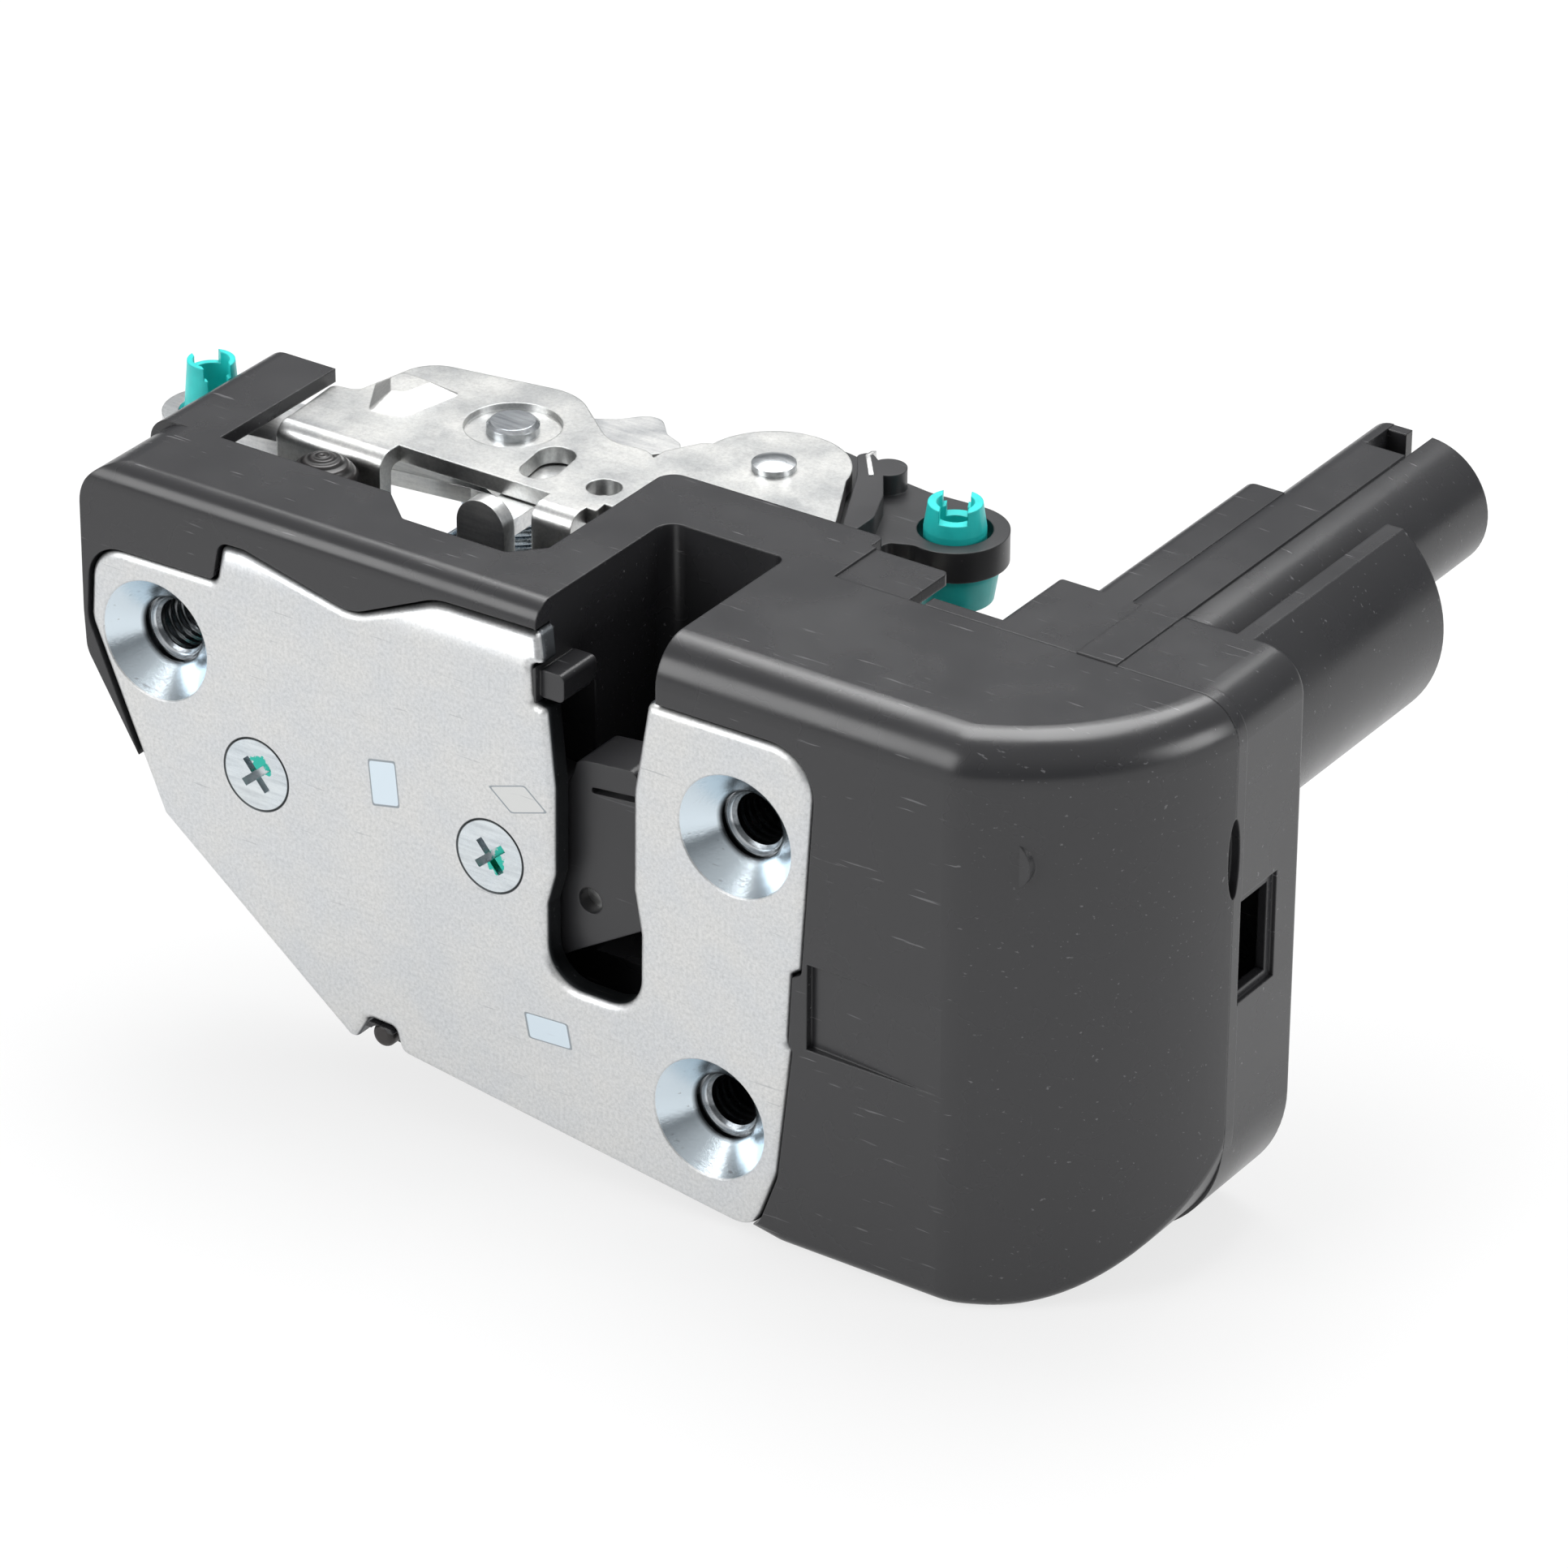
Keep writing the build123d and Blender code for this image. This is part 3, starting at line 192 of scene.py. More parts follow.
def highest(tree, masks):
    """The highest of several masks at each point."""
    top = masks[0]
    for mask in masks[1:]:
        larger = add_node(tree, "ShaderNodeMath", {"operation": "MAXIMUM"}, {0: top, 1: mask})
        top = larger.outputs["Value"]
    return top


def painted(tree, colour, layers):
    """Lay colours over a first one, in order, each where its mask is one."""
    for mask, code in layers:
        laid = add_node(tree, "ShaderNodeMix", {"data_type": "RGBA", 7: linear(code)},
                        {"Factor": mask, 6: colour})
        colour = laid.outputs[2]
    return colour


print("flush screws at:", claw_screw, pawl_screw)

# %% [markdown]
# Bright zinc plating with a clear passivation covers the face plate and the frame behind it. Up close
# it looks like fine paper: crystals of the plating scatter the light, the rolling of the sheet leaves
# faint lines, and the passivation adds a trace of blue. Noises mix these for the colour, the roughness
# and a very shallow bump. The real crystals are too fine for the render, so they are drawn coarser,
# about half a millimetre wide. A Bevel node rounds the look of each sharp pressed edge. The levers
# show more of the rolled lines than the frame, and the turned pins are smoother and a little bluer.


# %% Zinc plating
def zinc_plating(name, pale, deep, rough, bump, streak, edge):
    """Plated steel: streak is the share of rolled lines, edge the rounding of the edges in mm."""
    finish, tree, shader, place = start_finish(name)
    grain = add_node(tree, "ShaderNodeTexNoise",
                     {"Scale": per_mm(0.45), "Detail": 5.0, "Roughness": 0.7}, {"Vector": place})
    cloud = add_node(tree, "ShaderNodeTexNoise",
                     {"Scale": per_mm(9.0), "Detail": 4.0, "Roughness": 0.6}, {"Vector": place})
    stretch = add_node(tree, "ShaderNodeMapping",
                       {"Rotation": (0.0, 0.35, 0.0), "Scale": (0.10, 1.0, 1.0)}, {"Vector": place})
    rolled = add_node(tree, "ShaderNodeTexNoise", {"Scale": per_mm(0.6), "Detail": 4.0},
                      {"Vector": stretch.outputs["Vector"]})
    both = add_node(tree, "ShaderNodeMix", {"data_type": "FLOAT", "Factor": streak},
                    {"A": grain.outputs["Fac"], "B": rolled.outputs["Fac"]})
    tone = add_node(tree, "ShaderNodeValToRGB", {"stops": [(0.34, deep), (0.60, pale)]},
                    {"Fac": both.outputs["Result"]})
    tint = add_node(tree, "ShaderNodeValToRGB", {"stops": [(0.38, "f6f8fa"), (0.62, "fdfdfc")]},
                    {"Fac": cloud.outputs["Fac"]})
    colour = add_node(tree, "ShaderNodeMix", {"data_type": "RGBA", "blend_type": "MULTIPLY", "Factor": 1.0},
                      {6: tone.outputs["Color"], 7: tint.outputs["Color"]})
    dull = add_node(tree, "ShaderNodeMapRange",
                    {"From Min": 0.3, "From Max": 0.7, "To Min": rough - 0.05, "To Max": rough + 0.07},
                    {"Value": cloud.outputs["Fac"]})
    rounded = add_node(tree, "ShaderNodeBevel", {"name": "rounded edges", "samples": 4, "Radius": edge * MM})
    relief = add_node(tree, "ShaderNodeBump",
                      {"name": "fine relief", "Strength": bump, "Distance": 0.04 * MM},
                      {"Height": both.outputs["Result"], "Normal": rounded.outputs["Normal"]})
    tree.links.new(colour.outputs[2], shader.inputs["Base Color"])
    tree.links.new(dull.outputs["Result"], shader.inputs["Roughness"])
    tree.links.new(relief.outputs["Normal"], shader.inputs["Normal"])
    shader.inputs["Metallic"].default_value = 1.0
    return finish, tree, shader, place


lever_zinc = zinc_plating("zinc_plated_pressed_lever_steel", "e0e0df", "c2c3c4", 0.33, 0.35, 0.55, 0.18)[0]
frame_zinc = zinc_plating("bright_zinc_plated_frame_steel", "dbdbd9", "c4c4c3", 0.34, 0.45, 0.15, 0.25)[0]
pin_zinc = zinc_plating("turned_zinc_plated_steel", "dadde0", "b6babe", 0.24, 0.16, 0.80, 0.15)[0]
print("zinc finishes:", lever_zinc.name, frame_zinc.name, pin_zinc.name)

# %% [markdown]
# The face plate has the same plating with four things painted over it. Its seats, coined by a hard
# punch, are smooth and bluish. The walls of its slot and holes lie in the shade and are darker, so
# depth behind the face picks them out. Three staking marks, three to six millimetres across, show
# where the tabs of the part behind were driven in: smooth patches with a fine darker outline, two of
# them bluish. Handling has left short hairline scratches, from stretched noises that only pass their
# highest values.

# %% Face plate: what is painted on it
plate_zinc, tree, shader, place = zinc_plating(
    "bright_zinc_plated_steel_sheet", "e3e3e3", "cccdcd", 0.42, 0.60, 0.12, 0.22)
sides = add_node(tree, "ShaderNodeSeparateXYZ", links={"Vector": place})
depths = []
for start, end in ((0.10, 0.20), (0.45, 0.75), (3.2, 3.6)):
    deeper = add_node(tree, "ShaderNodeMapRange", {"From Min": start * MM, "From Max": end * MM},
                      {"Value": sides.outputs["Y"]})
    depths.append(deeper.outputs["Result"])
behind_face, in_hole, past_sheet = depths

seat_edge = 8.2
seats = [(round(mount["pos_m"][0] / MM, 3), round(mount["pos_m"][2] / MM, 3))
         for mount in frame["record"]["mounts"] if mount["name"].startswith("thread_")]
near_seat = highest(tree, [reach_mask(tree, away_from(tree, place, seat), seat_edge, 0.1) for seat in seats])
coined = add_node(tree, "ShaderNodeMath", {"operation": "MULTIPLY"}, {0: near_seat, 1: behind_face})
elsewhere = add_node(tree, "ShaderNodeMath", {"operation": "SUBTRACT", 0: 1.0}, {1: near_seat})
hole_wall = add_node(tree, "ShaderNodeMath", {"operation": "MULTIPLY"},
                     {0: elsewhere.outputs["Value"], 1: in_hole})
layers = [(coined.outputs["Value"], "d6e2ea"), (hole_wall.outputs["Value"], "505356"), (past_sheet, "44474a")]

# Each mark has its middle, its turn in degrees, its scale across and up, and its colour. The scale is
# that of the distances, so a mark is longer where it is below one.
smooth_places = []
staking_marks = (((34.3, -8.8), 8, (1.00, 0.66), "d9e6ef"),
                 ((54.1, -4.7), 32, (0.66, 1.30), "d6d7d6"),
                 ((58.2, -35.05), 6, (0.64, 1.20), "d9e6ef"))
for centre, turn, scale, tone in staking_marks:
    reach = off_square(tree, place, centre, turn, scale)
    smooth_places.append(reach_mask(tree, reach, 1.90, 0.10))
    layers.append((smooth_places[-1], tone))
    layers.append((reach_mask(tree, reach, 2.05, 0.06, start=1.93), "9aa1a6"))

# Painted shade: a thin dark ring in the narrow gap round each flush screw.
for centre in (claw_screw, pawl_screw):
    ring = reach_mask(tree, away_from(tree, place, centre), gap_shade_end, gap_shade_soft, start=4.76)
    layers.append((ring, gap_shade_colour))

for turn in (0.9, -0.5):
    along = add_node(tree, "ShaderNodeMapping",
                     {"Rotation": (0.0, turn, 0.0), "Scale": (0.05, 1.0, 1.0)}, {"Vector": place})
    fine = add_node(tree, "ShaderNodeTexNoise",
                    {"Scale": per_mm(0.5), "Detail": 3.0, "Roughness": 0.5},
                    {"Vector": along.outputs["Vector"]})
    hair = add_node(tree, "ShaderNodeMapRange",
                    {"From Min": 0.69, "From Max": 0.74, "To Min": 0.0, "To Max": 0.45},
                    {"Value": fine.outputs["Fac"]})
    layers.append((hair.outputs["Result"], "a2a5a8"))
colour = painted(tree, feeding(shader, "Base Color"), layers)
tree.links.new(colour, shader.inputs["Base Color"])
print("face plate:", plate_zinc.name, "seats:", seats, "painted layers:", len(layers))

# %% [markdown]
# The plate's upper edge leans back a little where the press drew it, and shows as a bright band. The
# lean is wide and very low, so a broad bump gives it: its height grows with the square of the way up,
# and it sits between the rounded edges and the fine relief that the plating made. The coined seats and
# the staking marks are polished, so the roughness is cut to about half there.

# %% Face plate: leaning edge and polish
smooth_places.append(coined.outputs["Value"])
smooth = highest(tree, smooth_places)
lean_start, lean_end, lean_depth = 11.5, 18.5, 2.9
climb = add_node(tree, "ShaderNodeMapRange", {"From Min": lean_start * MM, "From Max": lean_end * MM},
                 {"Value": sides.outputs["Z"]}).outputs["Result"]
roll = add_node(tree, "ShaderNodeMath", {"operation": "MULTIPLY"}, {0: climb, 1: climb})
leaning = add_node(tree, "ShaderNodeBump", {"invert": True, "Distance": lean_depth * MM},
                   {"Height": roll.outputs["Value"], "Normal": tree.nodes["rounded edges"].outputs["Normal"]})
tree.links.new(leaning.outputs["Normal"], tree.nodes["fine relief"].inputs["Normal"])
polish = add_node(tree, "ShaderNodeMapRange", {"To Min": 1.0, "To Max": 0.52}, {"Value": smooth})
shine = add_node(tree, "ShaderNodeMath", {"operation": "MULTIPLY"},
                 {0: feeding(shader, "Roughness"), 1: polish.outputs["Result"]})
tree.links.new(shine.outputs["Value"], shader.inputs["Roughness"])
print("masks of smooth places:", len(smooth_places), "height of the lean in mm:", lean_end - lean_start)

# %% [markdown]
# The flush screws are turned, so their plating is smoother. A drop of teal threadlock has crept into
# each cross and dried beside it, with a ragged edge that a noise gives, and the narrow gap to the plate
# is a thin line of painted shade. The nuts behind the seats are darker, with a painted highlight on the
# rim in front, and a wave of bands 1.25 mm apart along their bore gives the thread of an M8 nut.

# %% Screws and nuts
screw_zinc, tree, shader, place = zinc_plating(
    "turned_zinc_plated_screw_steel", "dfe5e8", "c6ccd0", 0.27, 0.15, 0.70, 0.12)
blot = add_node(tree, "ShaderNodeTexNoise", {"Scale": per_mm(1.1), "Detail": 4.0}, {"Vector": place})
raggedness = 3.2
layers = []
for centre, drop in ((claw_screw, (50.6, -14.3)), (pawl_screw, (15.7, -12.4))):
    ragged = add_node(tree, "ShaderNodeMath",
                      {"operation": "MULTIPLY_ADD", 1: raggedness * MM, 2: -raggedness / 2 * MM},
                      {0: blot.outputs["Fac"]})
    edge = add_node(tree, "ShaderNodeMath", {"operation": "ADD"},
                    {0: away_from(tree, place, drop), 1: ragged.outputs["Value"]})
    layers.append((reach_mask(tree, edge.outputs["Value"], 1.25, 0.20), "3fb9a8"))
    # Painted shade: the same thin dark ring in the gap between the screw and the plate.
    ring = reach_mask(tree, away_from(tree, place, centre), gap_shade_end, gap_shade_soft, start=4.70)
    layers.append((ring, gap_shade_colour))
colour = painted(tree, feeding(shader, "Base Color"), layers)
tree.links.new(colour, shader.inputs["Base Color"])

nut_steel, tree, shader, place = zinc_plating(
    "dark_threaded_nut_steel", "8d9194", "62666a", 0.26, 0.20, 0.30, 0.12)
thread_pitch = 1.25
highlight_rim_width = 0.35
thread = add_node(tree, "ShaderNodeTexWave", {"bands_direction": "Y", "Scale": bands_per_mm(thread_pitch)},
                  {"Vector": place})
relief = add_node(tree, "ShaderNodeBump", {"Strength": 0.6, "Distance": 0.2 * MM},
                  {"Height": thread.outputs["Fac"]})
depth = add_node(tree, "ShaderNodeSeparateXYZ", links={"Vector": place}).outputs["Y"]
nut_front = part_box("mount_nuts")[0][1] / MM
# Painted highlight: a pale band on the front rim of each nut, where its chamfer catches the light.
painted_rim_highlight = reach_mask(tree, depth, nut_front + highlight_rim_width, 0.10)
colour = painted(tree, feeding(shader, "Base Color"), [(painted_rim_highlight, "dfe4e8")])
tree.links.new(colour, shader.inputs["Base Color"])
tree.links.new(relief.outputs["Normal"], shader.inputs["Normal"])
print("hardware finishes:", screw_zinc.name, nut_steel.name)

# %% [markdown]
# The housing is nylon filled with glass fibre. It looks black with a soft sheen: the mould's fine
# texture spreads the reflections, and handling leaves pale fine scratches and specks. A fine noise
# gives the texture. Two stretched noises that only pass their highest values give scratches in two
# directions, and a third, unstretched one gives specks. The texture is drawn coarser than it is, a
# fifth of a millimetre wide, so that the render can show it. The claw's coat, the lock lever, the
# switch and the motor's cap are acetal, by the same recipe, but duller and with darker scratches.


# %% Black mouldings
def black_moulding(name, body, scuffed, rough, scuffs, grit_size, edge):
    """Black plastic: scuffs is the strength of scratches, grit_size and edge are in mm."""
    finish, tree, shader, place = start_finish(name)
    grit = add_node(tree, "ShaderNodeTexNoise",
                    {"Scale": per_mm(grit_size), "Detail": 5.0, "Roughness": 0.7}, {"Vector": place})
    cloud = add_node(tree, "ShaderNodeTexNoise", {"Scale": per_mm(13.0), "Detail": 4.0}, {"Vector": place})
    worn = []
    one_way = ((0.5, 0.3, 0.7), 0.7, 0.695)
    other_way = ((-0.6, 0.9, -0.8), 0.5, 0.70)
    specks = (None, 0.42, 0.755)
    for turn, size, low in (one_way, other_way, specks):
        where = place
        if turn:
            where = add_node(tree, "ShaderNodeMapping", {"Rotation": turn, "Scale": (0.07, 1.0, 1.0)},
                             {"Vector": place}).outputs["Vector"]
        fine = add_node(tree, "ShaderNodeTexNoise",
                        {"Scale": per_mm(size), "Detail": 3.0, "Roughness": 0.5}, {"Vector": where})
        line = add_node(tree, "ShaderNodeMapRange",
                        {"From Min": low, "From Max": low + 0.05, "To Min": 0.0, "To Max": scuffs},
                        {"Value": fine.outputs["Fac"]})
        worn.append(line.outputs["Result"])
    tone = add_node(tree, "ShaderNodeMix", {"data_type": "RGBA", 6: linear(body), 7: linear(scuffed)},
                    {"Factor": highest(tree, worn)})
    dull = add_node(tree, "ShaderNodeMapRange",
                    {"From Min": 0.3, "From Max": 0.7, "To Min": rough - 0.04, "To Max": rough + 0.06},
                    {"Value": cloud.outputs["Fac"]})
    rounded = add_node(tree, "ShaderNodeBevel", {"samples": 4, "Radius": edge * MM})
    relief = add_node(tree, "ShaderNodeBump", {"Strength": 0.25, "Distance": 0.03 * MM},
                      {"Height": grit.outputs["Fac"], "Normal": rounded.outputs["Normal"]})
    tree.links.new(tone.outputs[2], shader.inputs["Base Color"])
    tree.links.new(dull.outputs["Result"], shader.inputs["Roughness"])
    tree.links.new(relief.outputs["Normal"], shader.inputs["Normal"])
    shader.inputs["IOR"].default_value = 1.53
    return finish


housing_nylon = black_moulding("black_glass_filled_nylon", "2b2b2d", "7a7a7c", 0.26, 0.50, 0.22, 0.30)
acetal_black = black_moulding("black_acetal", "2b2b2d", "5a5a5c", 0.34, 0.45, 0.30, 0.25)
print("black finishes:", housing_nylon.name, acetal_black.name)

# %% [markdown]
# The rod clips are teal acetal, a plastic that lets light in and has a soft waxy gloss. The drive wheel
# is natural acetal, a milky white. The small stop is a dark moulded rubber. All three are one kind of
# recipe: a body colour that varies slightly, light under the surface where the material lets it in,
# and a fine bump.


# %% Teal and natural acetal, rubber
def soft_plastic(name, body, shade, rough, inside, ior):
    """Plastic or rubber with a share of its light scattered inside."""
    finish, tree, shader, place = start_finish(name)
    cloud = add_node(tree, "ShaderNodeTexNoise", {"Scale": per_mm(3.0), "Detail": 4.0}, {"Vector": place})
    grit = add_node(tree, "ShaderNodeTexNoise", {"Scale": per_mm(0.35), "Detail": 4.0}, {"Vector": place})
    tone = add_node(tree, "ShaderNodeValToRGB", {"stops": [(0.3, shade), (0.6, body)]},
                    {"Fac": cloud.outputs["Fac"]})
    dull = add_node(tree, "ShaderNodeMapRange", {"To Min": rough - 0.05, "To Max": rough + 0.08},
                    {"Value": grit.outputs["Fac"]})
    rounded = add_node(tree, "ShaderNodeBevel", {"samples": 4, "Radius": 0.25 * MM})
    relief = add_node(tree, "ShaderNodeBump", {"Strength": 0.2, "Distance": 0.03 * MM},
                      {"Height": grit.outputs["Fac"], "Normal": rounded.outputs["Normal"]})
    tree.links.new(tone.outputs["Color"], shader.inputs["Base Color"])
    tree.links.new(dull.outputs["Result"], shader.inputs["Roughness"])
    tree.links.new(relief.outputs["Normal"], shader.inputs["Normal"])
    shader.inputs["Subsurface Weight"].default_value = inside
    shader.inputs["Subsurface Radius"].default_value = (1 * MM, 2 * MM, 2 * MM)
    shader.inputs["IOR"].default_value = ior
    return finish


teal_acetal = soft_plastic("teal_acetal", "2cd2ce", "24c5c2", 0.34, 0.45, 1.48)
natural_acetal = soft_plastic("natural_acetal", "eeebe0", "e2dfd3", 0.35, 0.2, 1.48)
stop_rubber = soft_plastic("dark_moulded_rubber", "2c2726", "221f1e", 0.40, 0.0, 1.52)
print("plastic finishes:", teal_acetal.name, natural_acetal.name, stop_rubber.name)

# %% [markdown]
# The domed buffer is rubber from a mould that was turned on a lathe, which left it rings. They follow
# the buffer's own upright axis, so a wave of rings about Z, moved to that axis by a Mapping node,
# draws them, and the same wave gives the relief and the gloss of each ring.

# %% Ringed rubber
buffer_rubber, tree, shader, place = start_finish("ring_moulded_rubber")
ring_step = 0.9
buffer_axis = [round((start + end) / 2 / MM, 2) for start, end in zip(*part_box("rubber_bumper"))]
to_axis = (-buffer_axis[0] * MM, -buffer_axis[1] * MM, 0.0)
centred = add_node(tree, "ShaderNodeMapping", {"Location": to_axis}, {"Vector": place})
rings = add_node(tree, "ShaderNodeTexWave",
                 {"wave_type": "RINGS", "rings_direction": "Z", "Scale": bands_per_mm(ring_step)},
                 {"Vector": centred.outputs["Vector"]})
tone = add_node(tree, "ShaderNodeValToRGB", {"stops": [(0.2, "100f0f"), (0.8, "262323")]},
                {"Fac": rings.outputs["Fac"]})
dull = add_node(tree, "ShaderNodeMapRange", {"To Min": 0.42, "To Max": 0.30}, {"Value": rings.outputs["Fac"]})
relief = add_node(tree, "ShaderNodeBump", {"Strength": 0.7, "Distance": 0.2 * MM},
                  {"Height": rings.outputs["Fac"]})
tree.links.new(tone.outputs["Color"], shader.inputs["Base Color"])
tree.links.new(dull.outputs["Result"], shader.inputs["Roughness"])
tree.links.new(relief.outputs["Normal"], shader.inputs["Normal"])
shader.inputs["IOR"].default_value = 1.52
print("rubber finish:", buffer_rubber.name, "axis in mm:", buffer_axis[:2])

# %% [markdown]
# Springs are wound from drawn steel wire, which keeps fine lines along its length and is darker than the
# plating. The connector's blades are tinned brass. Both are metals, so they keep the default index of
# refraction and differ only in colour and roughness.


# %% Spring wire and brass
def drawn_metal(name, pale, deep, rough):
    """Metal drawn through a die, with fine lines."""
    finish, tree, shader, place = start_finish(name)
    lines = add_node(tree, "ShaderNodeTexNoise", {"Scale": per_mm(0.25), "Detail": 3.0}, {"Vector": place})
    tone = add_node(tree, "ShaderNodeValToRGB", {"stops": [(0.35, deep), (0.65, pale)]},
                    {"Fac": lines.outputs["Fac"]})
    dull = add_node(tree, "ShaderNodeMapRange", {"To Min": rough - 0.05, "To Max": rough + 0.1},
                    {"Value": lines.outputs["Fac"]})
    relief = add_node(tree, "ShaderNodeBump", {"Strength": 0.2, "Distance": 0.02 * MM},
                      {"Height": lines.outputs["Fac"]})
    tree.links.new(tone.outputs["Color"], shader.inputs["Base Color"])
    tree.links.new(dull.outputs["Result"], shader.inputs["Roughness"])
    tree.links.new(relief.outputs["Normal"], shader.inputs["Normal"])
    shader.inputs["Metallic"].default_value = 1.0
    return finish


spring_wire = drawn_metal("drawn_spring_steel_wire", "c8d2da", "9aa6b0", 0.24)
brass_blade = drawn_metal("tinned_brass_blade", "dcc07c", "c3a45c", 0.28)
print("drawn finishes:", spring_wire.name, brass_blade.name)

# %% [markdown]
# Each CAD node already has the right shape, so it only needs its finish: the material goes into the
# slots of the node's own object, and the mesh stays as it is.

# %% Give every node its finish
finish_of = {
    "latch_plate": plate_zinc, "back_frame": frame_zinc, "face_screws": screw_zinc, "mount_nuts": nut_steel,
    "outside_lever": lever_zinc, "release_lever": lever_zinc, "pawl": lever_zinc, "claw_core": lever_zinc,
    "pawl_lift_pin": pin_zinc, "claw_pin": pin_zinc, "pawl_pin": pin_zinc, "lever_rivet": pin_zinc,
    "lock_rivet": pin_zinc, "motor_can": pin_zinc, "worm_shaft": pin_zinc, "wheel_pin": pin_zinc,
    "front_housing": housing_nylon, "rear_cover": housing_nylon,
    "claw": acetal_black, "lock_lever": acetal_black,
    "status_switch": acetal_black, "motor_cap": acetal_black,
    "outside_clip": teal_acetal, "lock_clip": teal_acetal,
    "rubber_bumper": buffer_rubber, "stop_buffer": stop_rubber,
    "worm_wheel": natural_acetal, "output_arm": natural_acetal,
    "terminal_pins": brass_blade,
    "claw_spring": spring_wire, "pawl_spring": spring_wire, "lever_spring": spring_wire,
}
for name, piece in frame["nodes"].items():
    for slot in piece.material_slots:
        slot.material = finish_of[name]
print("nodes given a finish:", len(frame["nodes"]))

# %% [markdown]
# Two helpers serve every piece made here. One applies its place, so that its object sits at the
# world's origin as the CAD nodes do, and gives it its name, finish and body. The other selects points
# of a mesh by a test on their place, which is how a script does what the mouse does by hand.


# %% Helpers for pieces
def ready(piece, name, finish, body):
    """Name a finished piece, put its origin at the world's, give it its finish and its body."""
    bpy.ops.object.transform_apply(location=True, rotation=True, scale=True)
    piece.name = piece.data.name = name
    piece.data.materials.clear()
    piece.data.materials.append(finish)
    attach(piece, body)
    print(name, "faces:", len(piece.data.polygons))
    return piece


def pick_vertices(piece, test):
    """Select the vertices that pass a test on their place, from object mode, then go to edit mode."""
    bpy.ops.object.mode_set(mode="EDIT")
    bpy.ops.mesh.select_mode(type="VERT")
    bpy.ops.mesh.select_all(action="DESELECT")
    bpy.ops.object.mode_set(mode="OBJECT")
    for vertex in piece.data.vertices:
        vertex.select = test(vertex.co)
    bpy.ops.object.mode_set(mode="EDIT")


# %% [markdown]
# The CAD model stands in plain rings for the three torsion springs. A real one is a single wire wound
# into a helix, with a straight leg that leans on its neighbour. The Screw modifier winds it: a small
# circle, the cut through the wire, is carried round the spring's axis and along it. The leg is then
# pulled out of the wire's first ring of points, straight along the direction the wire leaves in. Each
# spring is wound about the axis of its joint, from the front or lower end of the ring it replaces.


# %% Torsion springs
def wound_spring(start, axis, radius, wire, turns, pitch, way, leg):
    """Wind a spring from its leg: wire is half the wire's width, way the sense of the winding."""
    bpy.ops.object.select_all(action="DESELECT")
    flat = (0, 0, 0) if axis == "Y" else (pi / 2, 0, 0)
    start = Vector(start) * MM
    bpy.ops.mesh.primitive_circle_add(vertices=12, radius=wire * MM, location=start, rotation=flat)
    piece = bpy.context.object
    bpy.ops.object.transform_apply(location=True, rotation=True, scale=True)
    bpy.context.scene.cursor.location = start + Vector((radius * MM, 0, 0))
    bpy.ops.object.origin_set(type="ORIGIN_CURSOR")
    screw = piece.modifiers.new("wind", "SCREW")
    screw.axis = axis
    screw.angle = way * 2 * pi
    screw.iterations = turns
    screw.screw_offset = pitch * MM
    screw.steps = screw.render_steps = 28
    bpy.ops.object.modifier_apply(modifier="wind")
    first_ring = Vector((-radius * MM, 0, 0))
    pick_vertices(piece, lambda place: (place - first_ring).length < wire * MM * 1.02)
    bpy.ops.mesh.extrude_region_move(TRANSFORM_OT_translate={"value": Vector(leg) * MM})
    bpy.ops.mesh.select_all(action="SELECT")
    bpy.ops.mesh.fill_holes(sides=0)
    bpy.ops.mesh.select_all(action="SELECT")
    bpy.ops.mesh.normals_make_consistent(inside=False)
    bpy.ops.object.mode_set(mode="OBJECT")
    bpy.ops.object.shade_smooth_by_angle(angle=radians(50))
    return piece


# Each row has the node, a point of its axis, the axis, and the sizes that wound_spring takes, in mm.
winding = (
    ("claw_spring", claw_axis, "Y", 4.35, 0.5, 5, 1.02, 1, (0, 0, -12)),
    ("pawl_spring", pawl_axis, "Y", 4.35, 0.5, 4, 1.02, 1, (0, 0, -10)),
    ("lever_spring", rivet_axis, "Z", 5.9, 0.6, 4, 1.20, -1, (0, -14, 0)),
)
for node, centre, axis, radius, wire, turns, pitch, way, leg in winding:
    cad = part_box(node)
    along = "XYZ".index(axis)
    start = [centre[0] - radius, centre[1], centre[2]]
    start[along] = round(cad[0][along] / MM, 2) + wire
    coil = wound_spring(start, axis, radius, wire, turns, pitch, way, leg)
    ready(coil, node.replace("_spring", "_wound_spring"), spring_wire, "frame")
    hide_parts(node)
    made = (coil.bound_box[0], coil.bound_box[6])
    print(node, "CAD box:", [[round(value / MM, 1) for value in corner] for corner in cad],
          "made:", [[round(value / MM, 1) for value in corner] for corner in made])

# %% [markdown]
# Between the cam and the boss of the lock lever stands a thin bent steel blade, which centres the
# lever. It starts as a narrow box. One end is pulled out and sideways as a small lip, as the press
# would fold it, and the edges are bevelled.

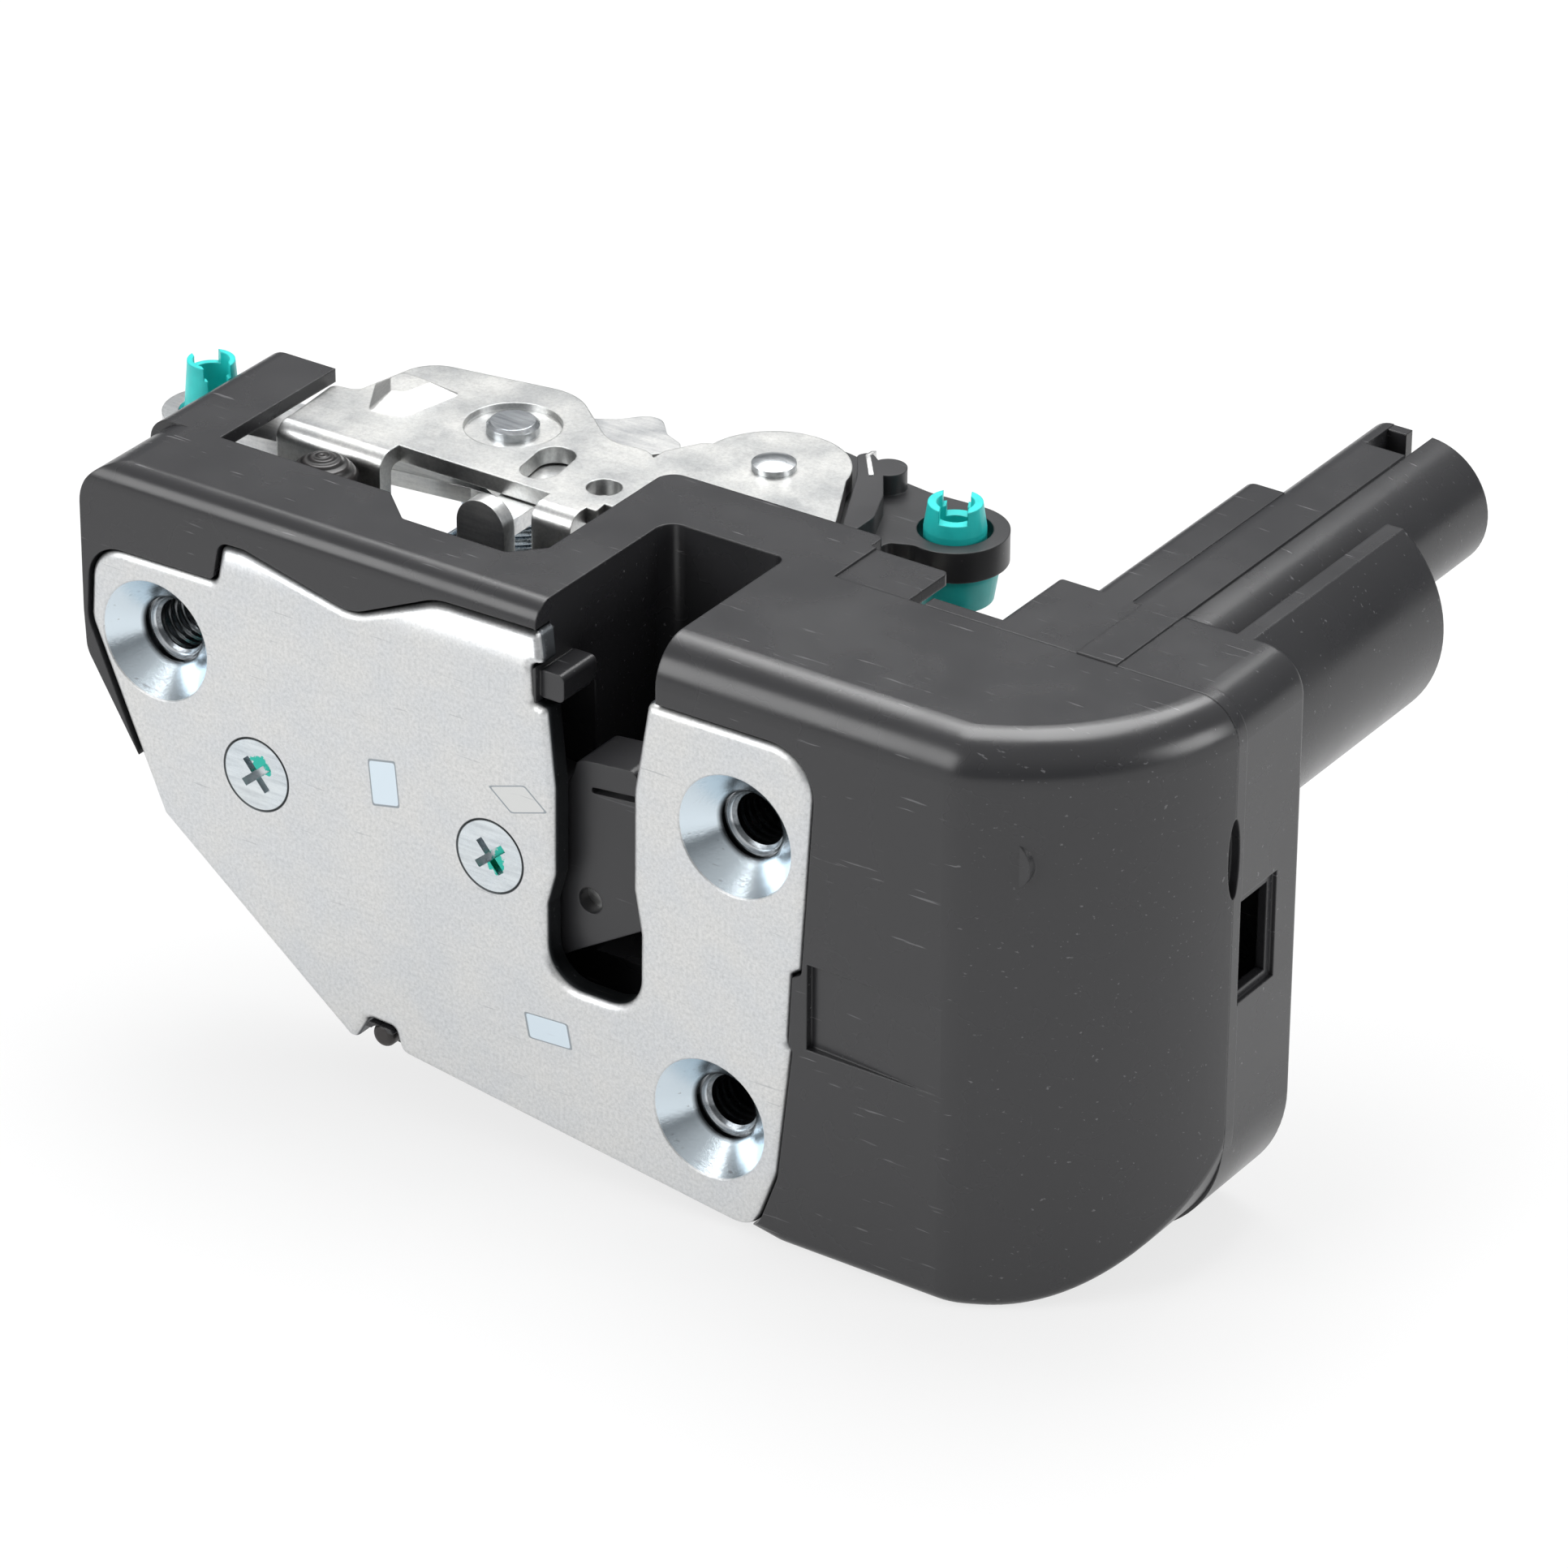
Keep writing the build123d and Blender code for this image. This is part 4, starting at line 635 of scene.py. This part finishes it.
# %% Steel blade of the lock lever
blade_size = Vector((5.4, 0.7, 3.9)) * MM
blade_lip = Vector((-1.0, 0.8, 0)) * MM
blade_place = Vector((66.3, 56.0, 17.95)) * MM
blade_turn = radians(-52)
bpy.ops.object.select_all(action="DESELECT")
bpy.ops.mesh.primitive_cube_add(size=1, location=(0, 0, 0), scale=blade_size)
blade = bpy.context.object
bpy.ops.object.transform_apply(location=True, rotation=True, scale=True)
pick_vertices(blade, lambda place: place.x < 0)
bpy.ops.mesh.extrude_region_move(TRANSFORM_OT_translate={"value": blade_lip})
bpy.ops.mesh.select_all(action="SELECT")
bpy.ops.mesh.bevel(offset=0.12 * MM, segments=2, affect="EDGES")
bpy.ops.mesh.normals_make_consistent(inside=False)
bpy.ops.object.mode_set(mode="OBJECT")
blade.location = blade_place
blade.rotation_euler = (0, 0, blade_turn)
bpy.ops.object.shade_smooth_by_angle(angle=radians(40))
ready(blade, "lock_centring_blade", lever_zinc, "lock_body")

# %% [markdown]
# The camera stands where the photograph was taken: in front, to the right and about 29 degrees above,
# far away with a long lens, so that parallel edges hardly converge. Its three axes are written as the
# columns of a matrix. Z of a Blender camera points back, away from what it sees.

# %% Camera
photo_width = 1932
focal_pixels = 10051.28
sensor_width = 36
camera = bpy.data.objects.new("camera", bpy.data.cameras.new("camera"))
bpy.context.scene.collection.objects.link(camera)
right = Vector((0.82630, 0.56320, 0.00534)).normalized()
up = Vector((-0.27705, 0.39818, 0.87447)).normalized()
axes = Matrix((right, up, right.cross(up))).transposed().to_4x4()
camera.matrix_world = Matrix.Translation(Vector((551.447, -678.347, 463.845)) * MM) @ axes
camera.data.sensor_width = sensor_width
camera.data.lens = sensor_width * focal_pixels / photo_width
camera.data.clip_start = 0.05
camera.data.clip_end = 20
bpy.context.scene.camera = camera
print("lens in mm:", round(camera.data.lens, 1), "distance in mm:", round(camera.location.length / MM))

# %% [markdown]
# The studio is a sheet of white paper under the object. The paper mixes in a plain white for camera
# rays, so that the camera sees a white background, and keeps a quarter of its own shading, so that the
# object has its shadow. It does so for mirrored and passing rays too, and the face plate, which
# mirrors the paper in front of it, shows the same white.


# %% Floor
def background_rays(tree):
    """One for the rays that show the background: the camera's own, mirrored and passing ones."""
    rays = add_node(tree, "ShaderNodeLightPath").outputs
    return highest(tree, [rays["Is Camera Ray"], rays["Is Glossy Ray"], rays["Is Transmission Ray"]])


floor_gap = 0.2
floor_height = cad_box[0][2] - floor_gap * MM
bpy.ops.object.select_all(action="DESELECT")
bpy.ops.mesh.primitive_plane_add(size=6, location=(0.06, 0.05, floor_height))
floor = bpy.context.object
floor.name = "studio_floor"
paper = bpy.data.materials.new("white_studio_paper")
paper.use_nodes = True
tree = paper.node_tree
tree.nodes.clear()
sheet = add_node(tree, "ShaderNodeBsdfDiffuse", {"Color": linear("e6e6e6")})
white = add_node(tree, "ShaderNodeEmission", {"Color": linear("ffffff"), "Strength": 1.0})
share = add_node(tree, "ShaderNodeMath", {"operation": "MULTIPLY", 1: 0.75}, {0: background_rays(tree)})
mixed = add_node(tree, "ShaderNodeMixShader",
                 links={"Fac": share.outputs["Value"], 1: sheet.outputs["BSDF"],
                        2: white.outputs["Emission"]})
add_node(tree, "ShaderNodeOutputMaterial", links={"Surface": mixed.outputs["Shader"]})
floor.data.materials.append(paper)
print("floor at mm:", round(floor_height / MM, 1))

# %% [markdown]
# The world lights the object softly from all sides, and metal only looks like metal when it has
# something to mirror. So it is a tent: grey towards the horizon and white above. The camera sees plain
# white instead, but mirrored rays see the tent, which gives the zinc its lights and darks.

# %% World
world = bpy.data.worlds.new("studio_world")
bpy.context.scene.world = world
world.use_nodes = True
tree = world.node_tree
tree.nodes.clear()
direction = add_node(tree, "ShaderNodeTexCoord").outputs["Generated"]
height = add_node(tree, "ShaderNodeSeparateXYZ", links={"Vector": direction}).outputs["Z"]
tent = add_node(tree, "ShaderNodeValToRGB",
                {"stops": [(0.0, "707274"), (0.22, "9fa1a3"), (0.75, "f4f4f4")]}, {"Fac": height})
soft = add_node(tree, "ShaderNodeBackground", {"Strength": 0.62}, {"Color": tent.outputs["Color"]})
seen = add_node(tree, "ShaderNodeBackground", {"Color": linear("ffffff"), "Strength": 1.0})
rays = add_node(tree, "ShaderNodeLightPath")
mixed = add_node(tree, "ShaderNodeMixShader",
                 links={"Fac": rays.outputs["Is Camera Ray"], 1: soft.outputs["Background"],
                        2: seen.outputs["Background"]})
add_node(tree, "ShaderNodeOutputWorld", links={"Surface": mixed.outputs["Shader"]})
print("world:", world.name)

# %% [markdown]
# Three large soft lamps do the rest. The one above and behind draws the bright line along each rounded
# edge, the wide one in front on the left lights the plate evenly, and a weak one on the right keeps
# the far end of the housing from going black.


# %% Lights
def soft_light(name, place, aim, size, watts):
    """Add a square lamp at a place, turned to face a point. Places and size are in metres."""
    lamp = bpy.data.lights.new(name, "AREA")
    lamp.shape = "SQUARE"
    lamp.size = size
    lamp.energy = watts
    holder = bpy.data.objects.new(name, lamp)
    bpy.context.scene.collection.objects.link(holder)
    holder.location = place
    holder.rotation_euler = (Vector(aim) - Vector(place)).to_track_quat("-Z", "Y").to_euler()
    return holder


middle = (0.05, 0.03, -0.01)
soft_light("top_light", (-0.10, 0.40, 0.85), middle, 0.7, 10.5)
soft_light("front_fill", (-0.85, -1.45, 0.80), middle, 1.1, 17.5)
soft_light("right_fill", (1.0, 0.25, 0.30), middle, 0.4, 3.0)
bpy.context.scene.view_settings.view_transform = "Standard"
